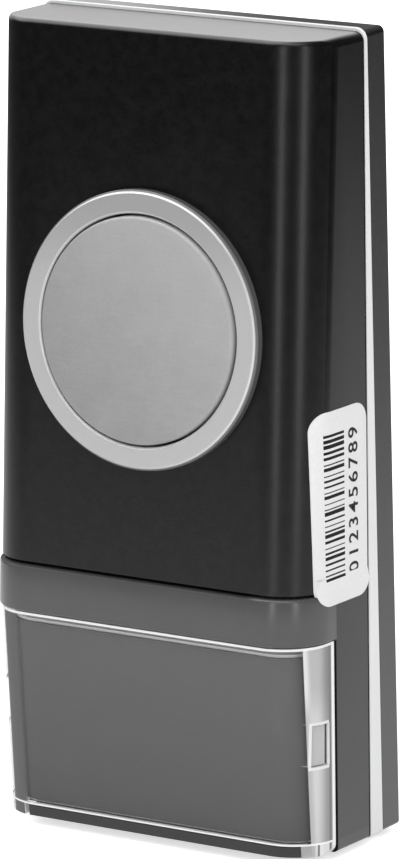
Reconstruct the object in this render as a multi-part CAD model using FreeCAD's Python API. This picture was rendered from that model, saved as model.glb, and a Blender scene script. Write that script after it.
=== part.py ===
import FreeCAD, Part
import math
import os

# Wireless doorbell push button: a leaning front casing, clipped over a plate that is screwed to the wall.
# Millimetres. The wall is the XZ plane, the button faces -Y and +Z is up.
# The origin is the centre of the wall plate's back.

Vec = FreeCAD.Vector

# Outline shared by the plate, the seal and the casing
WIDTH = 40.1
HEIGHT = 86.0
OUTLINE_CORNER = 1.1
FOOT_CORNER = 0.45

# Clearances between pieces that are assembled for good
LAID_GAP = 0.02
GLUE_LINE = 0.03

# Wall plate
PLATE_THICK = 3.4
PLATE_CORNER = 0.7
PLATE_BACK_ROUND = 0.1
RIM_HEIGHT = 4.4
RIM_THICK = 1.2
RIM_CORNER = 1.0
SCREW_LOW_Z = 24.5
SCREW_TOP_INSET = 8.5
SCREW_HOLE_R = 2.1
SCREW_SINK_R = 4.0
SCREW_SINK_DEEP = 1.9

# Wedge seal between plate and casing
SEAL_LOW_THICK = 2.34
SEAL_TOP_THICK = 0.53
SEAL_PROUD = 0.1
SEAL_TOP_PROUD = 0.28

# Front casing: its front is ridged at the band's foot, and is drawn in below the groove above the band
TOP_DEPTH = 9.89
RIDGE_DEPTH = 13.25
FOOT_DEPTH = 11.8
RIDGE_Z = 23.07
GROOVE_Z = 28.46
FRONT_CORNER = 5.1
TOP_EDGE_ROUND = 0.6
WALL = 1.8
RIM_GAP = 0.2

# Trim band, from the ridge up to the groove
BAND_GROOVE = 0.33
BAND_PROUD = 0.27
BAND_THICK = 1.5
BAND_FOOT_ROUND = 0.25
BAND_TOP_ROUND = 0.45
SIDE_STEP_Y = 6.65
STEP_GAP = 0.3

# Window cover, name card and the white tray behind them
COVER_THICK = 1.0
COVER_GAP = 0.15
ROOF_THICK = 0.4
ROOF_GAP = 0.6
CARD_GAP = 0.1
CARD_THICK = 0.3
CARD_HALF_WIDTH = 18.29
CARD_MARGIN = 0.25
TRAY_THICK = 1.0
SILL_HALF_WIDTH = 15.8
SILL_HEIGHT = 1.3
SILL_GAP = 0.45
FOOT_RISE = 0.15
CORE_WALL = 1.2
CATCH_LOW_Z = 9.9
CATCH_HEIGHT = 4.5
CATCH_FRONT_Y = 10.16
CATCH_LONG = 2.34
CATCH_NUB_LONG = 1.66
CATCH_FREE = 0.12
CATCH_THICK = 0.6

# Button
BUTTON_Z = 54.75
RING_BASE_R = 14.75
RING_PROUD = 1.25
RING_BEVEL = 0.4
RING_INNER_BEVEL = 0.2
RING_COLLAR = 0.75
BUTTON_TRAVEL = 0.8
CAP_R = 12.0
CAP_GAP = 0.25
CAP_PROUD = 0.3
CAP_THICK = 1.2
CAP_SKIRT = 2.2
CAP_EDGE = 0.4
FLANGE_LAP = 0.7
FLANGE_THICK = 1.0
STEM_R = 2.0

# Chamber behind the button
BOSS_IN_GAP = 0.3
BOSS_THICK = 2.4
MEMBRANE_THICK = 0.5
MEMBRANE_RIM_GAP = 0.2
BELLOWS_WIDE = 2.2
BELLOWS_THICK = 0.6
RETAINER_THICK = 1.0
RETAINER_BORE_R = 6.5
RETAINER_SCREWS = 3
RETAINER_PILOT_R = 0.75
RETAINER_HEAD_R = 1.35
RETAINER_HEAD_THICK = 0.8
RETAINER_SCREW_LONG = 3.6
CROSS_REACH = 0.6
CROSS_WIDE = 0.4

# Circuit board and what is soldered to it
BOARD_SIDE_FREE = 0.85
BOARD_LOW_Z = 30.0
BOARD_HEIGHT = 42.5
BOARD_THICK = 1.0
POST_HEIGHT = 1.8
POST_R = 2.2
POST_INSET = 3.0
PIN_R = 0.9
PIN_FREE = 0.1
PIN_TIP = 0.45
BOARD_SCREW_R = 0.8
BOARD_HEAD_R = 1.7
BOARD_HEAD_THICK = 1.0
BOARD_SCREW_LONG = 3.0
SWITCH_SIDE = 6.0
SWITCH_BODY_H = 3.5
SWITCH_PLUNGER_R = 1.7
SWITCH_BORE_GAP = 0.05
SWITCH_TRAVEL = 0.25
SWITCH_STANDOFF = 0.05
PLUNGER_HEIGHT = 0.8
CHIP_LONG = 8.65
CHIP_WIDE = 3.9
CHIP_THICK = 1.5
LEG_REACH = 1.0
LEG_THICK = 0.25
LEG_WIDE = 0.42
LEG_PITCH = 1.27
LEGS_PER_SIDE = 7
CHIP_MARK_R = 0.4
CHIP_MARK_INSET = 1.0
CHIP_MARK_DEEP = 0.12
CAN_R = 4.6
CAN_THICK = 3.0
COIL_R = 1.9
COIL_WIRE = 0.6
COIL_PITCH = 1.1
COIL_TURNS = 6
CHIP_X = -7.0
CHIP_Z = 42.0
CAN_X = 7.5
CAN_FLANGE = 0.4
COIL_X = -6.0
LOW_ROW_Z = 35.5
RESISTORS = 5
RESISTOR_X = 0.5
RESISTOR_PITCH = 2.2
RESISTOR_LONG = 2.0
RESISTOR_END = 0.4
RESISTOR_WIDE = 1.25
RESISTOR_THICK = 0.55
CAPACITOR_X = 6.5
CAPACITOR_Z = 66.0
CAPACITOR_LONG = 3.2
CAPACITOR_END = 0.7
CAPACITOR_WIDE = 1.6
CAPACITOR_THICK = 1.2
SOLDER_PROUD = 0.05

# Battery and its contacts
BATTERY_R = 5.1
BATTERY_LONG = 28.0
BATTERY_EDGE = 0.4
BATTERY_NUB_R = 2.6
BATTERY_NUB_LONG = 1.0
BATTERY_Z = 14.0
BATTERY_FREE = 0.1
TROUGH_DEEP = 1.6
TROUGH_FREE = 0.5
SADDLE_X = 8.0
SADDLE_THICK = 1.6
SADDLE_HEIGHT = 3.6
CONTACT_X = 15.5
CONTACT_THICK = 0.35
CONTACT_WIDE = 8.0
CONTACT_DEEP = 8.4
LEG_STRIP = 2.2
SPRING_WIRE = 0.5
SPRING_BASE_R = 3.4
SPRING_TIP_R = 1.8
SPRING_TURNS = 2

# Snap tongues that hold the casing on the plate
TONGUE_WIDE = 8.0
TONGUE_THICK = 0.9
TONGUE_HEIGHT = 6.0
TONGUE_FREE = 0.3
HOOK_LONG = 1.4
HOOK_HIGH = 1.1
HOOK_SLOT_FREE = 0.3

# Side label
LABEL_LOW_Z = 26.9
LABEL_HEIGHT = 20.5
LABEL_BACK_Y = 0.4
LABEL_FRONT_Y = 9.95
LABEL_THICK = 0.12
LABEL_CORNER = 2.0

# Worked out from the sizes above
HALF = WIDTH / 2
LEAN = math.degrees(math.atan((SEAL_LOW_THICK - SEAL_TOP_THICK) / HEIGHT))
FACE_SLOPE = (RIDGE_DEPTH - TOP_DEPTH) / (HEIGHT - RIDGE_Z)
BATTERY_Y = -(PLATE_THICK - TROUGH_DEEP + BATTERY_FREE + BATTERY_R)
BOARD_BACK_Y = -(PLATE_THICK + POST_HEIGHT)
BOARD_FRONT_Y = BOARD_BACK_Y - BOARD_THICK
RIM_HALF = HALF - WALL - RIM_GAP
BOARD_HALF = RIM_HALF - RIM_THICK - BOARD_SIDE_FREE
RIM_LOW_Z = WALL + RIM_GAP
RIM_TOP_Z = HEIGHT - WALL - RIM_GAP
CARD_IN = COVER_THICK + CARD_GAP
TRAY_IN = CARD_IN + CARD_THICK + CARD_GAP
CORE_IN = TRAY_IN + TRAY_THICK + CARD_GAP
COVER_TOP_Z = RIDGE_Z - COVER_GAP
TRAY_TOP_Z = COVER_TOP_Z - ROOF_THICK - ROOF_GAP
TRAY_LOW_Z = SILL_HEIGHT + CARD_GAP
CAP_BORE_R = CAP_R + CAP_GAP
HOLE_R = CAP_BORE_R + RING_COLLAR
FLANGE_R = HOLE_R + FLANGE_LAP
BOSS_IN_R = FLANGE_R + BOSS_IN_GAP
BOSS_OUT_R = BOSS_IN_R + BOSS_THICK
BOSS_MID_R = BOSS_IN_R + BOSS_THICK / 2


def box(x0, x1, y0, y1, z0, z1):
    """Box between two opposite corners."""
    return Part.makeBox(x1 - x0, y1 - y0, z1 - z0, Vec(x0, y0, z0))


def rod(radius, start, end):
    """Cylinder from one point to another."""
    way = end - start
    return Part.makeCylinder(radius, way.Length, start, way)


def fuse(pieces):
    """One solid from pieces that overlap or touch."""
    return pieces[0].multiFuse(pieces[1:]).removeSplitter()


def turned(points):
    """Solid of revolution about the Y axis from (radius, y) points."""
    corners = [Vec(r, y, 0) for r, y in points]
    face = Part.Face(Part.makePolygon(corners + corners[:1]))
    return face.revolve(Vec(0, 0, 0), Vec(0, 1, 0), 360)


def round_edges(solid, radius, wanted):
    """Round the edges that the test picks."""
    return solid.makeFillet(radius, [edge for edge in solid.Edges if wanted(edge)])


def along(edge, axis):
    """True for a straight edge that runs along X, Y or Z."""
    if not isinstance(edge.Curve, Part.Line):
        return False
    way = edge.tangentAt(edge.FirstParameter)
    return abs(abs(getattr(way, axis)) - 1) < 1e-6


def slab(half_width, z_low, z_high, y_front, y_back, corner, foot_corner=None):
    """Upright slab whose four edges along Y are rounded, if wanted by another radius at the foot."""
    plain = box(-half_width, half_width, y_front, y_back, z_low, z_high)
    for z, radius in ((z_high, corner), (z_low, foot_corner or corner)):
        plain = round_edges(plain, radius, lambda edge: along(edge, "y") and abs(edge.CenterOfMass.z - z) < 1e-6)
    return plain


def upper_depth(z):
    """Depth of the front from the casing's back plane, above the ridge."""
    return RIDGE_DEPTH - (z - RIDGE_Z) * FACE_SLOPE


def lower_depth(z):
    """Depth of the front from the casing's back plane, below the ridge."""
    return FOOT_DEPTH + (RIDGE_DEPTH - FOOT_DEPTH) * z / RIDGE_Z


def front_block(inset, z_low, z_high, y_back=0.0, depth=None):
    """Casing shape drawn in by an inset between two heights, with the slope above or below the ridge."""
    half = HALF - inset
    depth = depth or (lower_depth if z_low < RIDGE_Z else upper_depth)
    ends = [(inset - depth(z), z) for z in (z_low - FRONT_CORNER, z_high + FRONT_CORNER)]
    outline = [(y_back, ends[0][1]), (y_back, ends[1][1]), ends[1], ends[0]]
    corners = [Vec(-half, y, z) for y, z in outline]
    block = Part.Face(Part.makePolygon(corners + corners[:1])).extrude(Vec(2 * half, 0, 0))
    middle_y = (ends[0][0] + ends[1][0]) / 2

    def is_front_corner(edge):
        centre = edge.CenterOfMass
        return abs(centre.y - middle_y) < 1e-3 and abs(abs(centre.x) - half) < 1e-6

    block = round_edges(block, FRONT_CORNER - inset, is_front_corner)
    return block.common(box(-half, half, 2 * middle_y, y_back, z_low, z_high))


def ribbon(inset_out, inset_in, z_low, z_high, y_back):
    """Wall that wraps the casing's front and both its corners."""
    depth = lower_depth if z_low < RIDGE_Z else upper_depth
    core = front_block(inset_in, z_low - 1, z_high + 1, y_back + 1, depth)
    return front_block(inset_out, z_low, z_high, y_back, depth).cut(core)


def lean(shape):
    """Put a piece of the leaning casing in front of the wall plate."""
    placed = shape.copy()
    placed.rotate(Vec(0, 0, 0), Vec(1, 0, 0), -LEAN)
    placed.translate(Vec(0, -(PLATE_THICK + SEAL_LOW_THICK), -HEIGHT / 2))
    return placed


def on_plate(shape):
    """Put a piece that is square to the wall in its place."""
    return shape.translated(Vec(0, 0, -HEIGHT / 2))


def on_face(shape):
    """Put a piece turned about the Y axis on the casing's sloping face, in the casing's frame."""
    placed = shape.copy()
    placed.rotate(Vec(0, 0, 0), Vec(1, 0, 0), -math.degrees(math.atan(FACE_SLOPE)))
    placed.translate(Vec(0, -upper_depth(BUTTON_Z), BUTTON_Z))
    return placed


def on_button(shape):
    """Put a piece of the button in its place."""
    return lean(on_face(shape))


def button_depth(wall_y):
    """Depth along the button's axis, from the casing's face, at which it meets a plane beside the wall."""
    face = lean(on_face(Part.Vertex(0, 0, 0))).Point
    inner = lean(on_face(Part.Vertex(0, 1, 0))).Point
    return (wall_y - face.y) / (inner.y - face.y)


PLUNGER_TOP_Y = BOARD_FRONT_Y - SWITCH_BODY_H - PLUNGER_HEIGHT
PRESS_GAP = BUTTON_TRAVEL - SWITCH_TRAVEL + SWITCH_STANDOFF
MEMBRANE_BACK = button_depth(PLUNGER_TOP_Y) - PRESS_GAP
MEMBRANE_FRONT = MEMBRANE_BACK - MEMBRANE_THICK
FLANGE_FRONT = WALL + GLUE_LINE
FLANGE_BACK = FLANGE_FRONT + FLANGE_THICK
CAP_FACE = -(RING_PROUD + CAP_PROUD)
SWITCH_Z = lean(on_face(Part.Vertex(0, MEMBRANE_BACK, 0))).Point.z + HEIGHT / 2
RETAINER_FRONT = MEMBRANE_BACK + GLUE_LINE
RETAINER_BACK = RETAINER_FRONT + RETAINER_THICK


def ring_of_places(count, radius, first_angle):
    """Points (x, z) spread evenly round the button's axis."""
    angles = [math.radians(first_angle + 360 * i / count) for i in range(count)]
    return [(radius * math.cos(a), radius * math.sin(a)) for a in angles]


RETAINER_PLACES = ring_of_places(RETAINER_SCREWS, BOSS_MID_R, 90)


def post_places():
    """Board posts: (x, z, True where a screw goes and False where a locating pin stands)."""
    x = BOARD_HALF - POST_INSET
    low = BOARD_LOW_Z + POST_INSET
    high = BOARD_LOW_Z + BOARD_HEIGHT - POST_INSET
    return [(-x, low, True), (x, low, False), (-x, high, False), (x, high, True)]


def y_rod(radius, x, z, y_start, y_end):
    """Cylinder along Y between two depths."""
    return rod(radius, Vec(x, y_start, z), Vec(x, y_end, z))


def wall_plate():
    """Back plate with its rim, screw holes, battery trough, board posts and contact backs."""
    plate = slab(HALF, 0, HEIGHT, -PLATE_THICK, 0, PLATE_CORNER, FOOT_CORNER)
    plate = round_edges(plate, PLATE_BACK_ROUND, lambda edge: abs(edge.BoundBox.YMin) < 1e-6)
    rim_y = -PLATE_THICK - RIM_HEIGHT
    rim = slab(RIM_HALF, RIM_LOW_Z, RIM_TOP_Z, rim_y, -PLATE_THICK, RIM_CORNER)
    inside = box(RIM_THICK - RIM_HALF, RIM_HALF - RIM_THICK, rim_y - 1, -PLATE_THICK,
                 RIM_LOW_Z + RIM_THICK, RIM_TOP_Z - RIM_THICK)
    gap = TONGUE_WIDE / 2 + TONGUE_FREE
    passage = box(-gap, gap, rim_y - 1, -PLATE_THICK, 0, HEIGHT)
    rim = rim.cut(inside).cut(passage)

    trough_y = TROUGH_DEEP - PLATE_THICK
    trough_half = CONTACT_X + CONTACT_THICK + BATTERY_FREE
    trough_high = BATTERY_R + TROUGH_FREE
    trough = box(-trough_half, trough_half, -PLATE_THICK - 1, trough_y,
                 BATTERY_Z - trough_high, BATTERY_Z + trough_high)
    plate = plate.cut(trough)
    pieces = [plate, rim]
    bay = rod(BATTERY_R + BATTERY_FREE, Vec(-HALF, BATTERY_Y, BATTERY_Z), Vec(HALF, BATTERY_Y, BATTERY_Z))
    for x in (-SADDLE_X, SADDLE_X):
        saddle = box(x - SADDLE_THICK / 2, x + SADDLE_THICK / 2, trough_y - SADDLE_HEIGHT, trough_y,
                     BATTERY_Z - trough_high, BATTERY_Z + trough_high)
        pieces.append(saddle.cut(bay))
    for side in (-1, 1):
        inner = side * trough_half
        outer = side * (RIM_HALF - RIM_THICK / 2)
        pieces.append(box(min(inner, outer), max(inner, outer), rim_y, trough_y,
                          BATTERY_Z - CONTACT_WIDE / 2, BATTERY_Z + CONTACT_WIDE / 2))
    for x, z, has_screw in post_places():
        pieces.append(y_rod(POST_R, x, z, -PLATE_THICK + 1, BOARD_BACK_Y))
        if not has_screw:
            pieces.append(y_rod(PIN_R, x, z, -PLATE_THICK, BOARD_FRONT_Y - PIN_TIP))
    body = fuse(pieces)
    for side in (-1, 1):
        body = body.cut(contact_room(side))
    for x, z, has_screw in post_places():
        if has_screw:
            pilot_y = BOARD_FRONT_Y + BOARD_SCREW_LONG + PIN_FREE
            body = body.cut(y_rod(BOARD_SCREW_R + LAID_GAP, x, z, BOARD_BACK_Y - 1, pilot_y))
    for z in (SCREW_LOW_Z, HEIGHT - SCREW_TOP_INSET):
        body = body.cut(y_rod(SCREW_HOLE_R, 0, z, 1, -PLATE_THICK - 1))
        mouth = Vec(0, -PLATE_THICK, z)
        body = body.cut(Part.makeCone(SCREW_SINK_R, SCREW_HOLE_R, SCREW_SINK_DEEP, mouth, Vec(0, 1, 0)))
    return on_plate(body)


def contact_room(side):
    """Space for a battery contact, its spring or bump and its strip up to the board, beside the rim."""
    outer = side * (CONTACT_X + CONTACT_THICK + BATTERY_FREE)
    bay = sorted((side * BATTERY_LONG / 2, outer))
    slot = sorted((side * (CONTACT_X - PIN_FREE), outer))
    half = CONTACT_WIDE / 2
    sheet = box(*bay, -HALF, TROUGH_DEEP - PLATE_THICK, BATTERY_Z - half, BATTERY_Z + half)
    strip = box(*slot, -HALF, -PLATE_THICK - PIN_FREE, BATTERY_Z, BOARD_LOW_Z + LEG_STRIP / 2 + PIN_FREE)
    return fuse([sheet, strip])


def snap_tongues():
    """Two springy hooks, in the gaps of the rim, that hold the casing at its foot and its head."""
    root_y = -PLATE_THICK
    end_y = root_y - TONGUE_HEIGHT
    half = TONGUE_WIDE / 2

    def tongue(blade_z, sign):
        back_z = blade_z + sign * TONGUE_THICK
        hook_z = blade_z - sign * HOOK_HIGH
        blade = box(-half, half, end_y, root_y, min(blade_z, back_z), max(blade_z, back_z))
        outline = [(end_y, blade_z), (end_y + HOOK_LONG / 2, hook_z), (end_y + HOOK_LONG, hook_z),
                   (end_y + HOOK_LONG, blade_z)]
        corners = [Vec(-half, y, z) for y, z in outline]
        hook = Part.Face(Part.makePolygon(corners + corners[:1])).extrude(Vec(TONGUE_WIDE, 0, 0))
        return fuse([blade, hook])

    low = tongue(WALL + TONGUE_FREE, 1)
    high = tongue(HEIGHT - WALL - TONGUE_FREE, -1)
    return on_plate(Part.makeCompound([low, high]))


def seal_frame():
    """Wedge-shaped white seal between the plate and the leaning casing."""
    deep = -PLATE_THICK - SEAL_LOW_THICK - 1
    outer = slab(HALF + SEAL_PROUD, -SEAL_PROUD, HEIGHT + SEAL_TOP_PROUD, deep, -PLATE_THICK,
                 OUTLINE_CORNER + SEAL_PROUD, FOOT_CORNER + SEAL_PROUD)
    opening = slab(RIM_HALF + GLUE_LINE, RIM_LOW_Z - GLUE_LINE, RIM_TOP_Z + GLUE_LINE, deep - 1,
                   1 - PLATE_THICK, RIM_CORNER + GLUE_LINE)
    blank = on_plate(outer.cut(opening))
    front = lean(box(-WIDTH, WIDTH, -HALF, GLUE_LINE, -HALF, HEIGHT + HALF))
    return blank.cut(front)


def front_casing():
    """Black casing: full above the groove, drawn in below it where the band and the cover go."""
    upper = front_block(0, GROOVE_Z, HEIGHT)

    def is_top_rim(edge):
        return edge.BoundBox.ZMin > HEIGHT - 1e-6 and edge.BoundBox.YMin < -1e-3

    outer = round_edges(upper, TOP_EDGE_ROUND, is_top_rim)
    band_seat = front_block(BAND_THICK - BAND_PROUD + GLUE_LINE, RIDGE_Z, GROOVE_Z)
    core = front_block(CORE_IN, 0, RIDGE_Z)
    shoulders = front_block(0, 0, GROOVE_Z).cut(box(-HALF, HALF, -2 * RIDGE_DEPTH, -SIDE_STEP_Y, -1, HEIGHT))
    sill = front_block(GLUE_LINE, FOOT_RISE, SILL_HEIGHT).common(
        box(-SILL_HALF_WIDTH, SILL_HALF_WIDTH, -2 * RIDGE_DEPTH, 0, 0, SILL_HEIGHT))
    body = fuse([outer, band_seat, core, shoulders, sill])
    body = body.common(slab(HALF, 0, HEIGHT, -2 * RIDGE_DEPTH, 0, OUTLINE_CORNER, FOOT_CORNER))

    inner_low = CORE_IN + CORE_WALL
    step = GROOVE_Z + CORE_WALL
    room = [front_block(WALL, step, HEIGHT - WALL, 1),
            front_block(inner_low + CARD_GAP, RIDGE_Z, step, 1),
            front_block(inner_low, WALL, RIDGE_Z, 1),
            box(WALL - HALF, HALF - WALL, CORE_WALL - SIDE_STEP_Y, 1, WALL, step)]
    body = body.cut(fuse(room))

    boss = rod(BOSS_OUT_R, Vec(0, WALL / 2, 0), Vec(0, MEMBRANE_FRONT, 0))
    boss = boss.cut(rod(BOSS_IN_R, Vec(0, 0, 0), Vec(0, MEMBRANE_FRONT + 1, 0)))
    screw_end = RETAINER_BACK - RETAINER_SCREW_LONG - PIN_FREE
    for x, z in RETAINER_PLACES:
        boss = boss.cut(y_rod(RETAINER_PILOT_R + LAID_GAP, x, z, MEMBRANE_FRONT + 1, screw_end))
    hole = rod(HOLE_R, Vec(0, -TOP_DEPTH, 0), Vec(0, WALL + 1, 0))
    body = fuse([body, on_face(boss)]).cut(on_face(hole))

    hook_back = SEAL_LOW_THICK - TONGUE_HEIGHT + HOOK_LONG + HOOK_SLOT_FREE
    hook_front = SEAL_LOW_THICK - TONGUE_HEIGHT - HOOK_SLOT_FREE
    half = TONGUE_WIDE / 2 + TONGUE_FREE
    body = body.cut(box(-half, half, hook_front, hook_back, -1, WALL + 1))
    pocket_shift = SEAL_TOP_THICK - SEAL_LOW_THICK
    pocket_top = HEIGHT - WALL + HOOK_HIGH
    body = body.cut(box(-half, half, hook_front + pocket_shift, hook_back + pocket_shift,
                        HEIGHT - 2 * WALL, pocket_top))
    for side in (-1, 1):
        body = body.cut(catch_room(side))
    return lean(body)


def catch_zone(side, inset_out, inset_in, z_low, z_high, free):
    """Piece of the corner's wall in line with a catch window of the cover."""
    wall = ribbon(inset_out, inset_in, z_low, z_high, -SIDE_STEP_Y)
    half_window = box(min(0, side * HALF), max(0, side * HALF), -CATCH_FRONT_Y - free,
                      CATCH_LONG - CATCH_FRONT_Y + free, z_low, z_high)
    return wall.common(half_window)


def catch_room(side):
    """Shallow pocket in the casing into which a catch springs back."""
    floor_in = CORE_IN + CORE_WALL / 2
    z_low = CATCH_LOW_Z - CATCH_HEIGHT
    z_high = CATCH_LOW_Z + CATCH_HEIGHT
    return catch_zone(side, CORE_IN - 1, floor_in, z_low, z_high, CATCH_FREE)


def cover_catches():
    """Springy tongues of the tray whose nubs hold the window cover through its two side windows."""
    nub_low = CATCH_LOW_Z + CATCH_FREE
    nub_high = CATCH_LOW_Z + CATCH_HEIGHT - CATCH_FREE
    tongue_in = TRAY_IN + CATCH_THICK
    pieces = []
    for side in (-1, 1):
        tongue = catch_zone(side, TRAY_IN, tongue_in, CATCH_LOW_Z - CATCH_HEIGHT, nub_high, -CATCH_FREE)
        nub = ribbon(2 * CATCH_FREE, tongue_in, nub_low, nub_high, -SIDE_STEP_Y)
        reach = box(min(0, side * HALF), max(0, side * HALF), CATCH_FREE - CATCH_FRONT_Y,
                    CATCH_NUB_LONG - CATCH_FRONT_Y, nub_low, nub_high)
        pieces.append(fuse([tongue, nub.common(reach)]))
    return lean(Part.makeCompound(pieces))


def trim_band():
    """Grey band that wraps the front between the casing and the window cover."""
    top_z = GROOVE_Z - BAND_GROOVE
    band = ribbon(-BAND_PROUD, BAND_THICK - BAND_PROUD, RIDGE_Z, top_z, -SIDE_STEP_Y - GLUE_LINE)
    for z, radius in ((top_z, BAND_TOP_ROUND), (RIDGE_Z, BAND_FOOT_ROUND)):

        def is_outer_rim(edge):
            box_ = edge.BoundBox
            level = box_.ZLength < 1e-6 and abs(box_.ZMin - z) < 1e-6
            outside = max(abs(box_.XMin), abs(box_.XMax)) > HALF or box_.YMin < -upper_depth(z)
            return level and outside and edge.Length > BAND_THICK + 1

        band = round_edges(band, radius, is_outer_rim)
    return lean(band)


def card_tray():
    """White tray behind the name card, open where the two catches stand."""
    tray = ribbon(TRAY_IN, TRAY_IN + TRAY_THICK, TRAY_LOW_Z, TRAY_TOP_Z, -SIDE_STEP_Y - GLUE_LINE)
    for side in (-1, 1):
        slot = catch_zone(side, 0, TRAY_IN + TRAY_THICK + 1, CATCH_LOW_Z - CATCH_HEIGHT,
                          CATCH_LOW_Z + CATCH_HEIGHT, 0)
        tray = tray.cut(slot)
    return lean(tray)


def name_card():
    """Plain grey card, bent round both corners."""
    card = ribbon(CARD_IN, CARD_IN + CARD_THICK, TRAY_LOW_Z + CARD_MARGIN, TRAY_TOP_Z - CARD_MARGIN,
                  -SIDE_STEP_Y)
    card = card.common(box(-CARD_HALF_WIDTH, CARD_HALF_WIDTH, -2 * RIDGE_DEPTH, 0, 0, HEIGHT))
    for side in (-1, 1):
        card = card.cut(catch_zone(side, 0, TRAY_IN, CATCH_LOW_Z, CATCH_LOW_Z + CATCH_HEIGHT, 0))
    return lean(card)


def window_cover():
    """Clear cover over the card, with a top wall, two side windows and a notch over the sill."""
    back_y = -SIDE_STEP_Y - STEP_GAP
    shell = ribbon(0, COVER_THICK, FOOT_RISE, COVER_TOP_Z, back_y)
    roof = ribbon(0, CORE_IN - GLUE_LINE, COVER_TOP_Z - ROOF_THICK, COVER_TOP_Z, back_y)
    cover = fuse([shell, roof])
    notch = SILL_HALF_WIDTH + SILL_GAP
    cover = cover.cut(box(-notch, notch, -2 * RIDGE_DEPTH, 0, -1, TRAY_LOW_Z))
    for side in (-1, 1):
        cover = cover.cut(catch_zone(side, -1, COVER_THICK + 1, CATCH_LOW_Z, CATCH_LOW_Z + CATCH_HEIGHT, 0))
    return lean(cover)


def side_label():
    """Thin label on the right side that bends onto the corner and steps over the band's edge."""
    top_z = LABEL_LOW_Z + LABEL_HEIGHT
    out = LAID_GAP + LABEL_THICK
    over = ribbon(-out, -LAID_GAP, GROOVE_Z, top_z, 0)
    step_z = GROOVE_Z - BAND_GROOVE + LAID_GAP
    step = ribbon(-out - BAND_PROUD, -LAID_GAP, step_z, GROOVE_Z, 0)
    low = ribbon(-out - BAND_PROUD, -LAID_GAP - BAND_PROUD, LABEL_LOW_Z, step_z, 0)
    sheet = fuse([over, step, low])
    outline = slab((LABEL_FRONT_Y - LABEL_BACK_Y) / 2, LABEL_LOW_Z, top_z, 0, HALF, LABEL_CORNER)
    outline.rotate(Vec(0, 0, 0), Vec(0, 0, 1), -90)
    outline.translate(Vec(HALF / 2, -(LABEL_FRONT_Y + LABEL_BACK_Y) / 2, 0))
    return lean(sheet.common(outline))


def button_ring():
    """Satin ring round the button, with a collar through the casing."""
    profile = [(CAP_BORE_R, WALL), (HOLE_R - GLUE_LINE, WALL), (HOLE_R - GLUE_LINE, 0), (RING_BASE_R, 0),
               (RING_BASE_R, RING_BEVEL - RING_PROUD), (RING_BASE_R - RING_BEVEL, -RING_PROUD),
               (CAP_BORE_R + RING_INNER_BEVEL, -RING_PROUD), (CAP_BORE_R, RING_INNER_BEVEL - RING_PROUD)]
    return on_button(turned(profile))


def button_cap():
    """Satin disc that the finger presses, a shallow cup with a rounded rim."""
    skirt_y = CAP_FACE + CAP_SKIRT
    outer = rod(CAP_R, Vec(0, CAP_FACE, 0), Vec(0, skirt_y, 0))
    outer = round_edges(outer, CAP_EDGE, lambda edge: edge.BoundBox.YMax < CAP_FACE + 1e-3)
    hollow = rod(CAP_R - CAP_THICK, Vec(0, CAP_FACE + CAP_THICK, 0), Vec(0, skirt_y + 1, 0))
    return on_button(outer.cut(hollow))


def cap_carrier():
    """Black carrier inside the cap: its flange keeps it behind the ring and its stem works the switch."""
    skirt_y = CAP_FACE + CAP_SKIRT + GLUE_LINE
    plug_r = CAP_R - CAP_THICK - GLUE_LINE
    profile = [(0, CAP_FACE + CAP_THICK + GLUE_LINE), (plug_r, CAP_FACE + CAP_THICK + GLUE_LINE),
               (plug_r, skirt_y), (CAP_R, skirt_y), (CAP_R, FLANGE_FRONT), (FLANGE_R, FLANGE_FRONT),
               (FLANGE_R, FLANGE_BACK), (STEM_R, FLANGE_BACK), (STEM_R, MEMBRANE_FRONT - GLUE_LINE),
               (0, MEMBRANE_FRONT - GLUE_LINE)]
    return on_button(turned(profile))


def rubber_membrane():
    """Silicone sheet that seals the switch off and whose bellows pushes the button back."""
    rim_r = BOSS_OUT_R - MEMBRANE_RIM_GAP
    top = FLANGE_BACK + GLUE_LINE
    bellows_out = FLANGE_R - FLANGE_LAP
    bellows_in = bellows_out - BELLOWS_WIDE
    under = top + BELLOWS_THICK
    hollow_out = bellows_out - BELLOWS_THICK
    hollow_in = bellows_in + BELLOWS_THICK
    profile = [(0, MEMBRANE_FRONT), (bellows_in, MEMBRANE_FRONT), (bellows_in, top), (bellows_out, top),
               (bellows_out, MEMBRANE_FRONT), (rim_r, MEMBRANE_FRONT), (rim_r, MEMBRANE_BACK),
               (hollow_out, MEMBRANE_BACK), (hollow_out, under), (hollow_in, under),
               (hollow_in, MEMBRANE_BACK), (0, MEMBRANE_BACK)]
    sheet = turned(profile)
    for x, z in RETAINER_PLACES:
        sheet = sheet.cut(y_rod(RETAINER_PILOT_R + PIN_FREE, x, z, 0, MEMBRANE_BACK + 1))
    return on_button(sheet)


def membrane_retainer():
    """Flat ring that clamps the membrane to the boss behind the button."""
    ring = rod(BOSS_OUT_R, Vec(0, RETAINER_FRONT, 0), Vec(0, RETAINER_BACK, 0))
    ring = ring.cut(rod(RETAINER_BORE_R, Vec(0, 0, 0), Vec(0, RETAINER_BACK + 1, 0)))
    for x, z in RETAINER_PLACES:
        ring = ring.cut(y_rod(RETAINER_PILOT_R + PIN_FREE, x, z, 0, RETAINER_BACK + 1))
    return on_button(ring)


def cross_screw(radius, length, head_r, head_thick):
    """Small screw with its head above the origin, its shank along -Y and a cross recess."""
    shank = rod(radius, Vec(0, 0, 0), Vec(0, -length, 0))
    head = rod(head_r, Vec(0, 0, 0), Vec(0, head_thick, 0))
    head = round_edges(head, head_thick / 3, lambda edge: edge.BoundBox.YMin > head_thick - 1e-3)
    screw = fuse([shank, head])
    arm = head_r * CROSS_REACH
    half = CROSS_WIDE / 2
    for half_x, half_z in ((arm, half), (half, arm)):
        screw = screw.cut(box(-half_x, half_x, head_thick / 2, head_thick + 1, -half_z, half_z))
    return screw


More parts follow.
